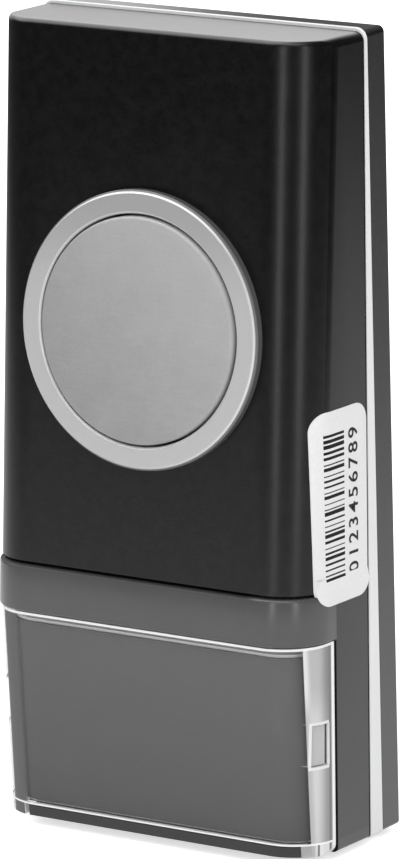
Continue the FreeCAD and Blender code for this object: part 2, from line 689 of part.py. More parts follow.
def retainer_screws():
    """Screws through the retainer and the membrane into the boss."""
    screw = cross_screw(RETAINER_PILOT_R, RETAINER_SCREW_LONG, RETAINER_HEAD_R, RETAINER_HEAD_THICK)
    places = [screw.translated(Vec(x, RETAINER_BACK + LAID_GAP, z)) for x, z in RETAINER_PLACES]
    return on_button(Part.makeCompound(places))


def board_screws():
    """Screws that hold the circuit board on two of its posts."""
    screw = cross_screw(BOARD_SCREW_R, BOARD_SCREW_LONG, BOARD_HEAD_R, BOARD_HEAD_THICK)
    screw.rotate(Vec(0, 0, 0), Vec(0, 0, 1), 180)
    places = [screw.translated(Vec(x, BOARD_FRONT_Y - LAID_GAP, z))
              for x, z, has_screw in post_places() if has_screw]
    return on_plate(Part.makeCompound(places))


def circuit_board():
    """Board with its screw and pin holes and the notches for the battery contacts."""
    board = box(-BOARD_HALF, BOARD_HALF, BOARD_FRONT_Y, BOARD_BACK_Y, BOARD_LOW_Z, BOARD_LOW_Z + BOARD_HEIGHT)
    for x, z, has_screw in post_places():
        radius = BOARD_SCREW_R + PIN_FREE if has_screw else PIN_R + PIN_FREE
        board = board.cut(y_rod(radius, x, z, 0, -HALF))
    for side in (-1, 1):
        inner = side * (CONTACT_X - PIN_FREE)
        outer = side * (CONTACT_X + CONTACT_THICK + 1)
        board = board.cut(box(min(inner, outer), max(inner, outer), -HALF, 0,
                              BOARD_LOW_Z - 1, BOARD_LOW_Z + LEG_STRIP / 2 + PIN_FREE))
    return on_plate(board)


def switch_body():
    """Square push switch with a round bore for its plunger."""
    half = SWITCH_SIDE / 2
    front_y = BOARD_FRONT_Y - SWITCH_BODY_H
    body = box(-half, half, front_y, BOARD_FRONT_Y - LAID_GAP, SWITCH_Z - half, SWITCH_Z + half)
    bore_end = front_y + 2 * PLUNGER_HEIGHT
    body = body.cut(y_rod(SWITCH_PLUNGER_R + SWITCH_BORE_GAP, 0, SWITCH_Z, front_y - 1, bore_end))
    return on_plate(body)


def switch_plunger():
    """Round plunger that the button's stem pushes into the switch."""
    front_y = BOARD_FRONT_Y - SWITCH_BODY_H
    inner_end = front_y + 2 * PLUNGER_HEIGHT - SWITCH_TRAVEL - SWITCH_BORE_GAP
    return on_plate(y_rod(SWITCH_PLUNGER_R, 0, SWITCH_Z, PLUNGER_TOP_Y, inner_end))


def on_board(shape, x, z):
    """Put a part, built with its seat at the origin and its top towards -Y, on the board's front."""
    return on_plate(shape.translated(Vec(x, BOARD_FRONT_Y - LAID_GAP, z)))


def encoder_chip():
    """Coder chip with its two rows of legs."""
    half_long = CHIP_LONG / 2
    half_wide = CHIP_WIDE / 2
    shoulder_y = -CHIP_THICK / 2
    pieces = [box(-half_wide, half_wide, -CHIP_THICK, -LEG_THICK / 2, -half_long, half_long)]
    for i in range(LEGS_PER_SIDE):
        z = (i - (LEGS_PER_SIDE - 1) / 2) * LEG_PITCH
        low, high = z - LEG_WIDE / 2, z + LEG_WIDE / 2
        for side in (-1, 1):
            root = side * (half_wide - LEG_THICK)
            knee = side * (half_wide + LEG_REACH / 2)
            toe = side * (half_wide + LEG_REACH)
            shin = knee - side * LEG_THICK
            thigh = sorted((root, knee))
            calf = sorted((shin, knee))
            foot = sorted((knee, toe))
            pieces.append(box(*thigh, shoulder_y - LEG_THICK, shoulder_y, low, high))
            pieces.append(box(*calf, shoulder_y, 0, low, high))
            pieces.append(box(*foot, -LEG_THICK, 0, low, high))
    chip = fuse(pieces)
    mark = y_rod(CHIP_MARK_R, CHIP_MARK_INSET - half_wide, half_long - CHIP_MARK_INSET, -CHIP_THICK - 1,
                 CHIP_MARK_DEEP - CHIP_THICK)
    return on_board(chip.cut(mark), CHIP_X, CHIP_Z)


def resonator_can():
    """Round metal can of the radio resonator, with its flange."""
    can = fuse([y_rod(CAN_R, 0, 0, 0, -CAN_FLANGE), y_rod(CAN_R - CAN_FLANGE, 0, 0, 0, -CAN_THICK)])
    can = round_edges(can, CAN_FLANGE, lambda edge: edge.BoundBox.YMax < -CAN_THICK + 1e-3)
    return on_board(can, CAN_X, LOW_ROW_Z)


def arcs_through(point_at, count):
    """Wire of arcs, each through three neighbouring points of a curve."""
    edges = []
    for i in range(count):
        three = [point_at((i + share) / count) for share in (0, 0.5, 1)]
        edges.append(Part.Arc(*three).toShape())
    return Part.Wire(edges)


def wound_wire(path, wire_r):
    """Round wire along a path."""
    start = path.Edges[0]
    way = start.tangentAt(start.FirstParameter)
    ring = Part.Wire([Part.makeCircle(wire_r, start.valueAt(start.FirstParameter), way)])
    wire = path.makePipeShell([ring], True, True)
    return Part.Solid(wire) if wire.ShapeType == "Shell" else wire


def antenna_coil():
    """Air coil of stiff wire that stands on the board on its two ends."""
    wire_r = COIL_WIRE / 2
    axis_y = -(COIL_R + COIL_WIRE)
    length = COIL_TURNS * COIL_PITCH

    def at(share):
        angle = 2 * math.pi * COIL_TURNS * share
        return Vec(length * (share - 0.5), axis_y + COIL_R * math.cos(angle), COIL_R * math.sin(angle))

    coil = wound_wire(arcs_through(at, COIL_TURNS * 4), wire_r)
    ends = [y_rod(wire_r, x, 0, 0, axis_y + COIL_R) for x in (-length / 2, length / 2)]
    return on_board(fuse([coil] + ends), COIL_X, LOW_ROW_Z)


def chip_row(size_x, size_y, size_z, end, places):
    """Small soldered blocks with metal ends proud of the body."""
    middle = box(end - size_x / 2, size_x / 2 - end, -size_y, 0, -size_z / 2, size_z / 2)
    high = size_z / 2 + SOLDER_PROUD
    ends = [box(x, x + end, -size_y - SOLDER_PROUD, 0, -high, high) for x in (-size_x / 2, size_x / 2 - end)]
    block = fuse([middle] + ends)
    return Part.makeCompound([on_board(block, x, z) for x, z in places])


def chip_resistors():
    """Row of small resistors beside the coder chip."""
    places = [(RESISTOR_X, CHIP_Z + RESISTOR_PITCH * (i - 1)) for i in range(RESISTORS)]
    return chip_row(RESISTOR_LONG, RESISTOR_THICK, RESISTOR_WIDE, RESISTOR_END, places)


def chip_capacitors():
    """Pair of supply capacitors above the chip."""
    places = [(-CAPACITOR_X, CAPACITOR_Z), (CAPACITOR_X, CAPACITOR_Z)]
    return chip_row(CAPACITOR_LONG, CAPACITOR_THICK, CAPACITOR_WIDE, CAPACITOR_END, places)


def battery():
    """Short 12 volt cell, 23A size, that lies across the plate: can, shoulder and plus nub."""
    start = Vec(-BATTERY_LONG / 2, BATTERY_Y, BATTERY_Z)
    end = start + Vec(BATTERY_LONG - BATTERY_NUB_LONG, 0, 0)
    can = rod(BATTERY_R, start, end)
    can = round_edges(can, BATTERY_EDGE, lambda edge: edge.BoundBox.XLength < 1e-3)
    nub = rod(BATTERY_NUB_R, end - Vec(1, 0, 0), end + Vec(BATTERY_NUB_LONG, 0, 0))
    return on_plate(fuse([can, nub]))


def contact_sheet(side):
    """Sheet contact at one end of the battery, with a strip up to the board."""
    x0, x1 = sorted((side * CONTACT_X, side * (CONTACT_X + CONTACT_THICK)))
    root_y = TROUGH_DEEP - PLATE_THICK - BATTERY_FREE
    half_wide = CONTACT_WIDE / 2
    sheet = box(x0, x1, root_y - CONTACT_DEEP, root_y, BATTERY_Z - half_wide, BATTERY_Z + half_wide)
    middle_y = (BOARD_BACK_Y + BOARD_FRONT_Y) / 2
    half_strip = LEG_STRIP / 2
    strip = box(x0, x1, middle_y - half_strip, middle_y + half_strip, BATTERY_Z, BOARD_LOW_Z + half_strip)
    return fuse([sheet, strip])


def plus_contact():
    """Plus contact: a sheet with a pressed bump that meets the battery's nub."""
    bump_end = BATTERY_LONG / 2 + LAID_GAP
    bump = Part.makeCone(BATTERY_NUB_R, BATTERY_NUB_R / 2, CONTACT_X - bump_end,
                         Vec(CONTACT_X, BATTERY_Y, BATTERY_Z), Vec(-1, 0, 0))
    return on_plate(fuse([contact_sheet(1), bump]))


def minus_contact():
    """Minus contact sheet."""
    return on_plate(contact_sheet(-1))


def minus_spring():
    """Conical spring between the minus contact and the battery's base."""
    wire_r = SPRING_WIRE / 2
    base_x = -CONTACT_X + wire_r + LAID_GAP
    tip_x = -BATTERY_LONG / 2 - wire_r - LAID_GAP

    def at(share):
        angle = 2 * math.pi * SPRING_TURNS * share
        radius = SPRING_BASE_R + (SPRING_TIP_R - SPRING_BASE_R) * share
        x = base_x + (tip_x - base_x) * share
        return Vec(x, BATTERY_Y + radius * math.cos(angle), BATTERY_Z + radius * math.sin(angle))

    return on_plate(wound_wire(arcs_through(at, SPRING_TURNS * 4), wire_r))


PIECES = {
    "wall_plate": wall_plate,
    "snap_tongues": snap_tongues,
    "seal_frame": seal_frame,
    "circuit_board": circuit_board,
    "board_screws": board_screws,
    "switch_body": switch_body,
    "switch_plunger": switch_plunger,
    "encoder_chip": encoder_chip,
    "resonator_can": resonator_can,
    "antenna_coil": antenna_coil,
    "chip_resistors": chip_resistors,
    "chip_capacitors": chip_capacitors,
    "battery": battery,
    "plus_contact": plus_contact,
    "minus_contact": minus_contact,
    "minus_spring": minus_spring,
    "front_casing": front_casing,
    "trim_band": trim_band,
    "card_tray": card_tray,
    "cover_catches": cover_catches,
    "name_card": name_card,
    "window_cover": window_cover,
    "side_label": side_label,
    "button_ring": button_ring,
    "button_cap": button_cap,
    "cap_carrier": cap_carrier,
    "rubber_membrane": rubber_membrane,
    "membrane_retainer": membrane_retainer,
    "retainer_screws": retainer_screws,
}


def main():
    os.makedirs("parts", exist_ok=True)
    for name, make in PIECES.items():
        shape = make()
        shape.exportStep(f"parts/{name}.step")
        size = shape.optimalBoundingBox()
        print(f"{name}: {len(shape.Solids)} solids, valid {shape.isValid()}, {shape.Volume:.2f} mm3, "
              f"{size.XLength:.2f} x {size.YLength:.2f} x {size.ZLength:.2f} mm")
    print(f"lean {LEAN:.3f} degrees, switch at z {SWITCH_Z:.2f}, membrane from {MEMBRANE_FRONT:.2f}")


main()
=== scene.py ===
import math

import bmesh
import bpy
from mathutils import Matrix, Vector


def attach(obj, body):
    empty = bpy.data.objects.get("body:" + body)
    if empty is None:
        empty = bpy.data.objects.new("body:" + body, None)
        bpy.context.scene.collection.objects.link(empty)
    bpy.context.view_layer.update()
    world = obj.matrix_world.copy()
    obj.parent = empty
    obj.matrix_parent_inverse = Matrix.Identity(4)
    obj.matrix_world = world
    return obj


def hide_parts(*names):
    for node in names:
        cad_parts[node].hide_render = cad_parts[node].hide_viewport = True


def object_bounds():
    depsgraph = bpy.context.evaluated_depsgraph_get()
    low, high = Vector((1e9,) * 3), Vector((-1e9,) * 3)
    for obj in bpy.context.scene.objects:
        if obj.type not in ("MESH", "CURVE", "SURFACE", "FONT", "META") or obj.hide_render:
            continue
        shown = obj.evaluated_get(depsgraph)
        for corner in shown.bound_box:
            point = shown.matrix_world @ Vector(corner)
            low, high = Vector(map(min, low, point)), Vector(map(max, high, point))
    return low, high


# A wall doorbell push: leaning black front, silver ring, satin disc, grey band, clear window
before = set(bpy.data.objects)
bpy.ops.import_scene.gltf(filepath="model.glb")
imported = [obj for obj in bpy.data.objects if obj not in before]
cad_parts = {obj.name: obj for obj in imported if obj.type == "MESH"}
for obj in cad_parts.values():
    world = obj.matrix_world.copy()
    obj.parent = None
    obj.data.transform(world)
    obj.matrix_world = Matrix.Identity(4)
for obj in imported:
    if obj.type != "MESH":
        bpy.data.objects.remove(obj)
cad_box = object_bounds()

# Sizes in millimetres, in the frame of their piece
MM = 0.001
WIDTH = 40.1
HEIGHT = 86.0
HALF = WIDTH / 2
OUTLINE_CORNER = 1.1
FOOT_CORNER = 0.45
PLATE_THICK = 3.4
SEAL_LOW_THICK = 2.34
SEAL_TOP_THICK = 0.53
SEAL_PROUD = 0.1
SEAL_TOP_PROUD = 0.28
GLUE_LINE = 0.03
LAID_GAP = 0.02

TOP_DEPTH = 9.89
RIDGE_DEPTH = 13.25
FOOT_DEPTH = 11.8
RIDGE_Z = 23.07
GROOVE_Z = 28.46
FRONT_CORNER = 5.1
TOP_EDGE_ROUND = 0.6
WALL = 1.8
RIM_GAP = 0.2
RIM_HALF = HALF - WALL - RIM_GAP
RIM_LOW_Z = WALL + RIM_GAP
RIM_TOP_Z = HEIGHT - WALL - RIM_GAP
RIM_CORNER = 1.0

BAND_GROOVE = 0.33
BAND_PROUD = 0.27
BAND_THICK = 1.5
BAND_FOOT_ROUND = 0.25
BAND_TOP_ROUND = 0.45
SIDE_STEP_Y = 6.65
STEP_GAP = 0.15

COVER_THICK = 1.0
COVER_TOP_Z = RIDGE_Z - 0.15
ROOF_THICK = 0.4
ROOF_GAP = 0.6
CARD_GAP = 0.1
CARD_THICK = 0.3
CARD_MARGIN = 0.25
CARD_HALF_WIDTH = 18.29
TRAY_THICK = 1.0
SILL_LEFT = 15.65
SILL_RIGHT = 18.2
SILL_HEIGHT = 1.3
NOTCH_LEFT = 16.25
NOTCH_RIGHT = 18.25
FOOT_RISE = 0.15
CORE_WALL = 1.2
CARD_IN = COVER_THICK + CARD_GAP
TRAY_IN = CARD_IN + CARD_THICK + CARD_GAP
CORE_IN = TRAY_IN + TRAY_THICK + CARD_GAP
TRAY_LOW_Z = SILL_HEIGHT + CARD_GAP
TRAY_TOP_Z = COVER_TOP_Z - ROOF_THICK - ROOF_GAP

CATCH_LOW_Z = 9.9
CATCH_HEIGHT = 4.5
CATCH_TOP_Z = CATCH_LOW_Z + CATCH_HEIGHT
CATCH_FRONT_Y = 10.16
CATCH_LONG = 2.34
CATCH_NUB_LONG = 1.86
CATCH_FREE = 0.12
CATCH_THICK = 0.6
CATCH_HEAD_IN = 0.5
CATCH_NECK_IN = 0.4
CATCH_NECK_Y = -9.42

BUTTON_Z = 54.75
RING_BASE_R = 14.75
RING_PROUD = 1.25
RING_BEVEL = 0.4
RING_INNER_BEVEL = 0.2
CAP_R = 12.0
CAP_BORE_R = 12.25
CAP_FACE = -1.55
CAP_THICK = 1.2
CAP_SKIRT = 2.2
CAP_EDGE = 0.4
HOLE_R = 13.0

LABEL_LOW_Z = 26.9
LABEL_TOP_Z = 47.4
LABEL_BACK_Y = 0.4
LABEL_FRONT_Y = 9.95
LABEL_THICK = 0.12
LABEL_CORNER = 2.0
LABEL_RAMP = 1.4
BAR_CELLS_PER_MM = 1.7
BARS_LOW_Z = 29.5
BARS_TOP_Z = 45.0
BARS_FRONT_Y = 8.4
BARS_BACK_Y = 4.7
DIGIT_SIZE = 2.45
DIGIT_BOLD = 0.03
DIGIT_SPACING = 1.3
DIGIT_BASE_Y = -2.2
INK_THICK = 0.01

# Inner parts: where their bodies end and their tin, bare metal or bare edge begins
CHIP_X, CHIP_HALF = -7.0, 1.97
RESISTOR_X, RESISTOR_HALF = 0.5, 0.61
CAPACITOR_X, CAPACITOR_HALF = 6.5, 0.91
BOARD_HALF, BOARD_LOW_Z, BOARD_TOP_Z = 15.97, 30.03, 72.47
TRACKS_PER_MM = 0.79
SLEEVE_HALF = 13.55
SLEEVE_BAND_X, SLEEVE_BAND_HALF = 8.6, 1.6
SLEEVE_SEAM_Z, SLEEVE_SEAM_HALF = 15.2, 0.12

# Shaping: fineness, tolerances in millimetres and angles
CORNER_STEPS = 20
OUTLINE_STEPS = 10
TOP_EDGE_STEPS = 5
TURN_STEPS = 144
HOLE_STEPS = 96
EDGE_STEPS = 2
PAST = 1.0
OVERLAP = 0.1
HAIR = 0.01
CLOSE = 0.001
MERGED = 0.0005
DIGIT_MERGED = 0.002
SKIN_REACH = 0.12
FLAT_ANGLE = math.radians(0.4)
SHARP_ANGLE = math.radians(32)
EDGE_ANGLE = math.radians(38)

# Places: from the millimetres of the wall plate, the leaning front and the button to metres
LEAN = math.atan((SEAL_LOW_THICK - SEAL_TOP_THICK) / HEIGHT)
FACE_SLOPE = (RIDGE_DEPTH - TOP_DEPTH) / (HEIGHT - RIDGE_Z)
TILT = math.atan(FACE_SLOPE)


def upper_depth(z):
    """Depth of the front above the ridge, from its back plane."""
    return RIDGE_DEPTH - (z - RIDGE_Z) * FACE_SLOPE


def lower_depth(z):
    """Depth of the front below the ridge."""
    return FOOT_DEPTH + (RIDGE_DEPTH - FOOT_DEPTH) * z / RIDGE_Z


def depth_from(z_low):
    """Depth rule of a shape that starts at a height."""
    return lower_depth if z_low < RIDGE_Z else upper_depth


TO_METRES = Matrix.Scale(MM, 4)
FRONT_SHIFT = Matrix.Translation((0, -(PLATE_THICK + SEAL_LOW_THICK), -HEIGHT / 2))
FRONT_TURN = Matrix.Rotation(-LEAN, 4, "X")
FACE_SHIFT = Matrix.Translation((0, -upper_depth(BUTTON_Z), BUTTON_Z))
FACE_TURN = Matrix.Rotation(-TILT, 4, "X")
ON_PLATE = TO_METRES @ Matrix.Translation((0, 0, -HEIGHT / 2))
ON_FRONT = TO_METRES @ FRONT_SHIFT @ FRONT_TURN
ON_BUTTON = ON_FRONT @ FACE_SHIFT @ FACE_TURN


# Shapes

def new_object(name, data):
    """Object linked to the scene."""
    obj = bpy.data.objects.new(name, data)
    bpy.context.scene.collection.objects.link(obj)
    return obj


def new_mesh(name, bm):
    """Mesh made from a bmesh, which is freed."""
    mesh = bpy.data.meshes.new(name)
    bm.to_mesh(mesh)
    bm.free()
    return mesh


def combine(bm, others, operation):
    """A solid cut by, joined with or limited to other solids, with its flat faces made whole."""
    work = new_object("work", new_mesh("work", bm))
    helpers = [new_object("helper", new_mesh("helper", other)) for other in others]
    for helper in helpers:
        modifier = work.modifiers.new("combine", "BOOLEAN")
        modifier.operation = operation
        modifier.solver = "EXACT"
        modifier.object = helper
    made = bmesh.new()
    made.from_object(work, bpy.context.evaluated_depsgraph_get())
    for obj in [work] + helpers:
        mesh = obj.data
        bpy.data.objects.remove(obj)
        bpy.data.meshes.remove(mesh)
    bmesh.ops.remove_doubles(made, verts=made.verts, dist=MERGED)
    bmesh.ops.dissolve_limit(made, angle_limit=FLAT_ANGLE, verts=made.verts, edges=made.edges)
    return made


def cut(bm, *others):
    return combine(bm, others, "DIFFERENCE")


def join(bm, *others):
    return combine(bm, others, "UNION")


def common(bm, *others):
    return combine(bm, others, "INTERSECT")


def lay_beside(bm, other):
    """Add another shape without joining the two."""
    mesh = new_mesh("helper", other)
    bm.from_mesh(mesh)
    bpy.data.meshes.remove(mesh)


def grow(bm, faces, way):
    """Extrude faces into a solid."""
    grown = bmesh.ops.extrude_face_region(bm, geom=faces)["geom"]
    moved = [item for item in grown if isinstance(item, bmesh.types.BMVert)]
    bmesh.ops.translate(bm, vec=way, verts=moved)


def box(x0, x1, y0, y1, z0, z1):
    """Box between two opposite corners."""
    bm = bmesh.new()
    bmesh.ops.create_cube(bm, size=1)
    bmesh.ops.scale(bm, vec=(x1 - x0, y1 - y0, z1 - z0), verts=bm.verts)
    middle = ((x0 + x1) / 2, (y0 + y1) / 2, (z0 + z1) / 2)
    bmesh.ops.translate(bm, vec=middle, verts=bm.verts)
    return bm


def side_box(side, y0, y1, z0, z1):
    """Box from the middle plane out past one side."""
    return box(min(0, side * WIDTH), max(0, side * WIDTH), y0, y1, z0, z1)


def rod(radius, y0, y1):
    """Round bar along the Y axis."""
    bm = bmesh.new()
    bmesh.ops.create_cone(bm, cap_ends=True, segments=HOLE_STEPS, radius1=radius, radius2=radius,
                          depth=abs(y1 - y0))
    turn = Matrix.Rotation(math.pi / 2, 3, "X")
    bmesh.ops.rotate(bm, cent=(0, 0, 0), matrix=turn, verts=bm.verts)
    bmesh.ops.translate(bm, vec=(0, (y0 + y1) / 2, 0), verts=bm.verts)
    return bm


def round_off(bm, radius, steps, wanted):
    """Round the edges that the test picks."""
    edges = [edge for edge in bm.edges if wanted(edge)]
    bmesh.ops.bevel(bm, geom=edges, offset=radius, offset_type="OFFSET", affect="EDGES",
                    segments=steps, profile=0.5, material=-1, clamp_overlap=False)
    return bm


def runs_along_y(edge):
    way = edge.verts[1].co - edge.verts[0].co
    return abs(way.y) > 0.999 * way.length


def slab(half_width, z_low, z_high, y_front, y_back, corner, foot_corner=None):
    """Upright slab with its four edges along Y rounded, if wanted less or more at the foot."""
    plain = box(-half_width, half_width, y_front, y_back, z_low, z_high)
    for z, radius in ((z_high, corner), (z_low, foot_corner or corner)):

        def is_corner(edge):
            return runs_along_y(edge) and abs(edge.verts[0].co.z - z) < CLOSE

        round_off(plain, radius, OUTLINE_STEPS, is_corner)
    return plain


def outline_cutter(foot_corner=None):
    """Slab that rounds the front's outline, a hair wider than what it cuts."""
    foot = foot_corner + HAIR if foot_corner else None
    return slab(HALF + HAIR, -HAIR, HEIGHT + HAIR, -2 * RIDGE_DEPTH, PAST, OUTLINE_CORNER + HAIR,
                foot)


def trim(bm, point, outward):
    """Cut off what lies beyond a plane and close the cut."""
    geometry = bm.verts[:] + bm.edges[:] + bm.faces[:]
    done = bmesh.ops.bisect_plane(bm, geom=geometry, plane_co=point, plane_no=outward,
                                  clear_outer=True)
    rim = [item for item in done["geom_cut"] if isinstance(item, bmesh.types.BMEdge)]
    bmesh.ops.holes_fill(bm, edges=rim, sides=0)
    return bm


def block(inset, z_low, z_high, y_back=0.0, depth=None):
    """The front's shape drawn in by an inset, between two heights."""
    half = HALF - inset
    depth = depth or depth_from(z_low)
    ends = [(inset - depth(z), z) for z in (z_low - FRONT_CORNER, z_high + FRONT_CORNER)]
    bm = bmesh.new()
    outline = [(y_back, ends[0][1]), (y_back, ends[1][1]), ends[1], ends[0]]
    side = bm.faces.new([bm.verts.new((-half, y, z)) for y, z in outline])
    grow(bm, [side], (2 * half, 0, 0))
    middle_y = (ends[0][0] + ends[1][0]) / 2

    def is_front_corner(edge):
        centre = (edge.verts[0].co + edge.verts[1].co) / 2
        return abs(centre.y - middle_y) < CLOSE and abs(abs(centre.x) - half) < CLOSE

    round_off(bm, FRONT_CORNER - inset, CORNER_STEPS, is_front_corner)
    trim(bm, (0, 0, z_low), (0, 0, -1))
    trim(bm, (0, 0, z_high), (0, 0, 1))
    bmesh.ops.recalc_face_normals(bm, faces=bm.faces)
    return bm


def ribbon(inset_out, inset_in, z_low, z_high, y_back):
    """Wall that wraps the front and both its corners."""
    depth = depth_from(z_low)
    return cut(block(inset_out, z_low, z_high, y_back, depth),
               block(inset_in, z_low - PAST, z_high + PAST, y_back + PAST, depth))


def catch_zone(side, inset_out, inset_in, z_low, z_high, free):
    """Piece of the corner's wall in line with a side window of the cover."""
    wall = ribbon(inset_out, inset_in, z_low, z_high, -SIDE_STEP_Y)
    y_front = -CATCH_FRONT_Y - free
    y_back = CATCH_LONG - CATCH_FRONT_Y + free
    return common(wall, side_box(side, y_front, y_back, z_low, z_high))


def turned(points):
    """Solid turned about the Y axis from (radius, y) points: both ends on the axis, or neither."""
    bm = bmesh.new()
    verts = [bm.verts.new((radius, y, 0)) for radius, y in points]
    pairs = list(zip(verts, verts[1:]))
    if points[0][0] > 0:
        pairs.append((verts[-1], verts[0]))
    edges = [bm.edges.new(pair) for pair in pairs]
    bmesh.ops.spin(bm, geom=verts + edges, cent=(0, 0, 0), axis=(0, 1, 0), angle=2 * math.pi,
                   steps=TURN_STEPS, use_merge=True)
    bmesh.ops.remove_doubles(bm, verts=bm.verts, dist=MERGED)
    bmesh.ops.recalc_face_normals(bm, faces=bm.faces)
    return bm


def place(bm, name, where, body, node, finishes, edge=0.0):
    """Put a shape in the object, with small edge rounding, finishes and what it stands for."""
    bm.transform(where)
    bmesh.ops.recalc_face_normals(bm, faces=bm.faces)
    obj = new_object(name, new_mesh(name, bm))
    for finish in finishes:
        obj.data.materials.append(finish)
    obj.data.shade_smooth()
    obj.data.set_sharp_from_angle(angle=SHARP_ANGLE)
    if edge:
        rounding = obj.modifiers.new("edges", "BEVEL")
        rounding.width = edge * MM
        rounding.segments = EDGE_STEPS
        rounding.limit_method = "ANGLE"
        rounding.angle_limit = EDGE_ANGLE
        rounding.harden_normals = True
    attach(obj, body)
    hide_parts(node)


# Finishes: where shades and lines lie. A pair is the two ends of a soft change or of a line

CASING_SIDE_X = HALF - 0.4
CASING_FOOT_LIGHT_Z = (0, 50)
CASING_BACK_SHADE_Y = (-0.3, -0.16)
CASING_STEP_SHADE_Y = -6.33
CASING_SILL_Z = SILL_HEIGHT + 0.05
PLATE_SIDE_X = HALF - 0.3
PLATE_TOP_Z = HEIGHT - 0.3
PLATE_FOOT_LIGHT_Z = (0, 60)
PLATE_DULL_X = (-16, 14)
PLATE_SEAM_SHADE_Y = (0.1 - PLATE_THICK, 0.24 - PLATE_THICK)
BAND_TOP_SHADE_Z = (GROOVE_Z - 0.65, GROOVE_Z - 0.45)
BAND_SHADE_FADE_X = (13, 15)
RING_BEVEL_HIGHLIGHT_R = (RING_BASE_R - 0.34, RING_BASE_R - 0.26)
RING_WALL_SHADE_R = (RING_BASE_R - 0.26, RING_BASE_R - 0.16)
RING_LIP_HIGHLIGHT_R = CAP_BORE_R + RING_INNER_BEVEL + 0.02
RING_TOP_SHADE_Z = (2, 14)
TRAY_FOOT_LIGHT_Z = (5, 17)
TRAY_END_LIGHT_X = (18.2, 18.3)
TRAY_END_LIGHT_Z = (12, 15)
SLOT_OUTER_X = (HALF - 0.42, HALF - 0.34)

# Cover: where its painted highlights, painted shade lines, painted lens and painted corner tones
# lie
COVER_GLOSS = 0.042
LENS_NEAR = (0.26, 0.38)
LENS_FAR = (0.67, 0.78)
LENS_END_X = HALF - 0.45
LEFT_LENS_FACING = (0.62, 0.74)
TOP_LINE_Z = (COVER_TOP_Z - 0.34, COVER_TOP_Z - 0.22)
FOOT_LINE_Z = (TRAY_LOW_Z + 0.16, TRAY_LOW_Z + 0.26)
UPPER_Z = (14, 19)
PAINTED_CORNER_X = (18.98, 19.08)
TURN_X = (19.15, 19.5)
COVER_BACK_Y = (-9.6, -8.0)
SIDE_SHADE_LINE_Y = (-7.85, -7.6)
COVER_RIM_Y = (-7.45, -7.3)
WINDOW_FRAME = 0.28
WINDOW_FRONT_Y = (-CATCH_FRONT_Y - 0.36, -CATCH_FRONT_Y - 0.22)
WINDOW_BACK_Y = -7.7
LEG_TURN_X = (19.2, 19.4)
LEG_SLIT_SHADE_Y = (-9.35, -9.12)
LEG_BACK_Y = (-9.12, -8.75)


class Wire:
    """A node's output, which Python's operators extend with Math nodes."""

    def __init__(self, nodes, socket):
        self.nodes = nodes
        self.socket = socket

    def maths(self, operation, *values):
        return self.nodes.add("ShaderNodeMath", {"operation": operation}, dict(enumerate(values)))

    def __add__(self, other):
        return self.maths("ADD", self, other)

    __radd__ = __add__

    def __mul__(self, other):
        return self.maths("MULTIPLY", self, other)

    __rmul__ = __mul__

    def __sub__(self, other):
        return self.maths("SUBTRACT", self, other)

    def __rsub__(self, other):
        return self.maths("SUBTRACT", other, self)

    def __gt__(self, other):
        return self.maths("GREATER_THAN", self, other)

    def __lt__(self, other):
        return self.maths("LESS_THAN", self, other)

    def __abs__(self):
        return self.maths("ABSOLUTE", self)

    def root(self):
        return self.maths("SQRT", self)

    def whole(self):
        return self.maths("FLOOR", self)

    def fraction(self):
        return self.maths("FRACT", self)

    def either(self, other):
        """The larger of two values."""
        return self.maths("MAXIMUM", self, other)

    def rise(self, low, high):
        """0 below one value, 1 above another and smooth between."""
        return self.nodes.add("ShaderNodeMapRange", {"interpolation_type": "SMOOTHSTEP"},
                              {"Value": self, "From Min": low, "From Max": high})

    def within(self, low, high, soft=0.0):
        """1 between two values, with hard or soft ends."""
        if soft:
            return self.rise(low - soft, low) * (1 - self.rise(high, high + soft))
        return (self > low) * (self < high)


class Nodes:
    """A node tree, and the one method that adds a node to it."""

    def __init__(self, tree):
        self.tree = tree
        self.tree.nodes.clear()

    def add(self, kind, settings=None, sockets=None, output=0):
        """A node of a kind: its settings first, then the values or links of its sockets."""
        node = self.tree.nodes.new(kind)
        for name, value in (settings or {}).items():
            setattr(node, name, value)
        for name, value in (sockets or {}).items():
            self.feed(node.inputs[name], value)
        return Wire(self, node.outputs[output]) if node.outputs else node

    def feed(self, socket, value):
        """Link a wire to a socket, or set the socket's value."""
        if isinstance(value, Wire):
            self.tree.links.new(value.socket, socket)
        elif isinstance(value, tuple) and len(value) == 3 and socket.type == "RGBA":
            socket.default_value = (*value, 1)
        else:
            socket.default_value = value

    def mix(self, share, first, second):
        """Colour between two colours: sockets 0, 6 and 7 are the share and the colours."""
        return self.add("ShaderNodeMix", {"data_type": "RGBA", "clamp_factor": True},
                        {0: share, 6: first, 7: second}, output=2)

    def layers(self, colour, *covers):
        """Colour with (share, colour) covers laid over it in turn."""
        for share, cover in covers:
            colour = self.mix(share, colour, cover)
        return colour

    def parts(self, vector):
        """The X, Y and Z of a position."""
        first = self.add("ShaderNodeSeparateXYZ", None, {0: vector})
        return [Wire(self, socket) for socket in first.socket.node.outputs]

    def ray(self, *kinds):
        """1 for rays of one or two kinds."""
        shares = [self.add("ShaderNodeLightPath", output=f"Is {kind} Ray") for kind in kinds]
        return shares[0].either(shares[1]) if len(shares) == 2 else shares[0]


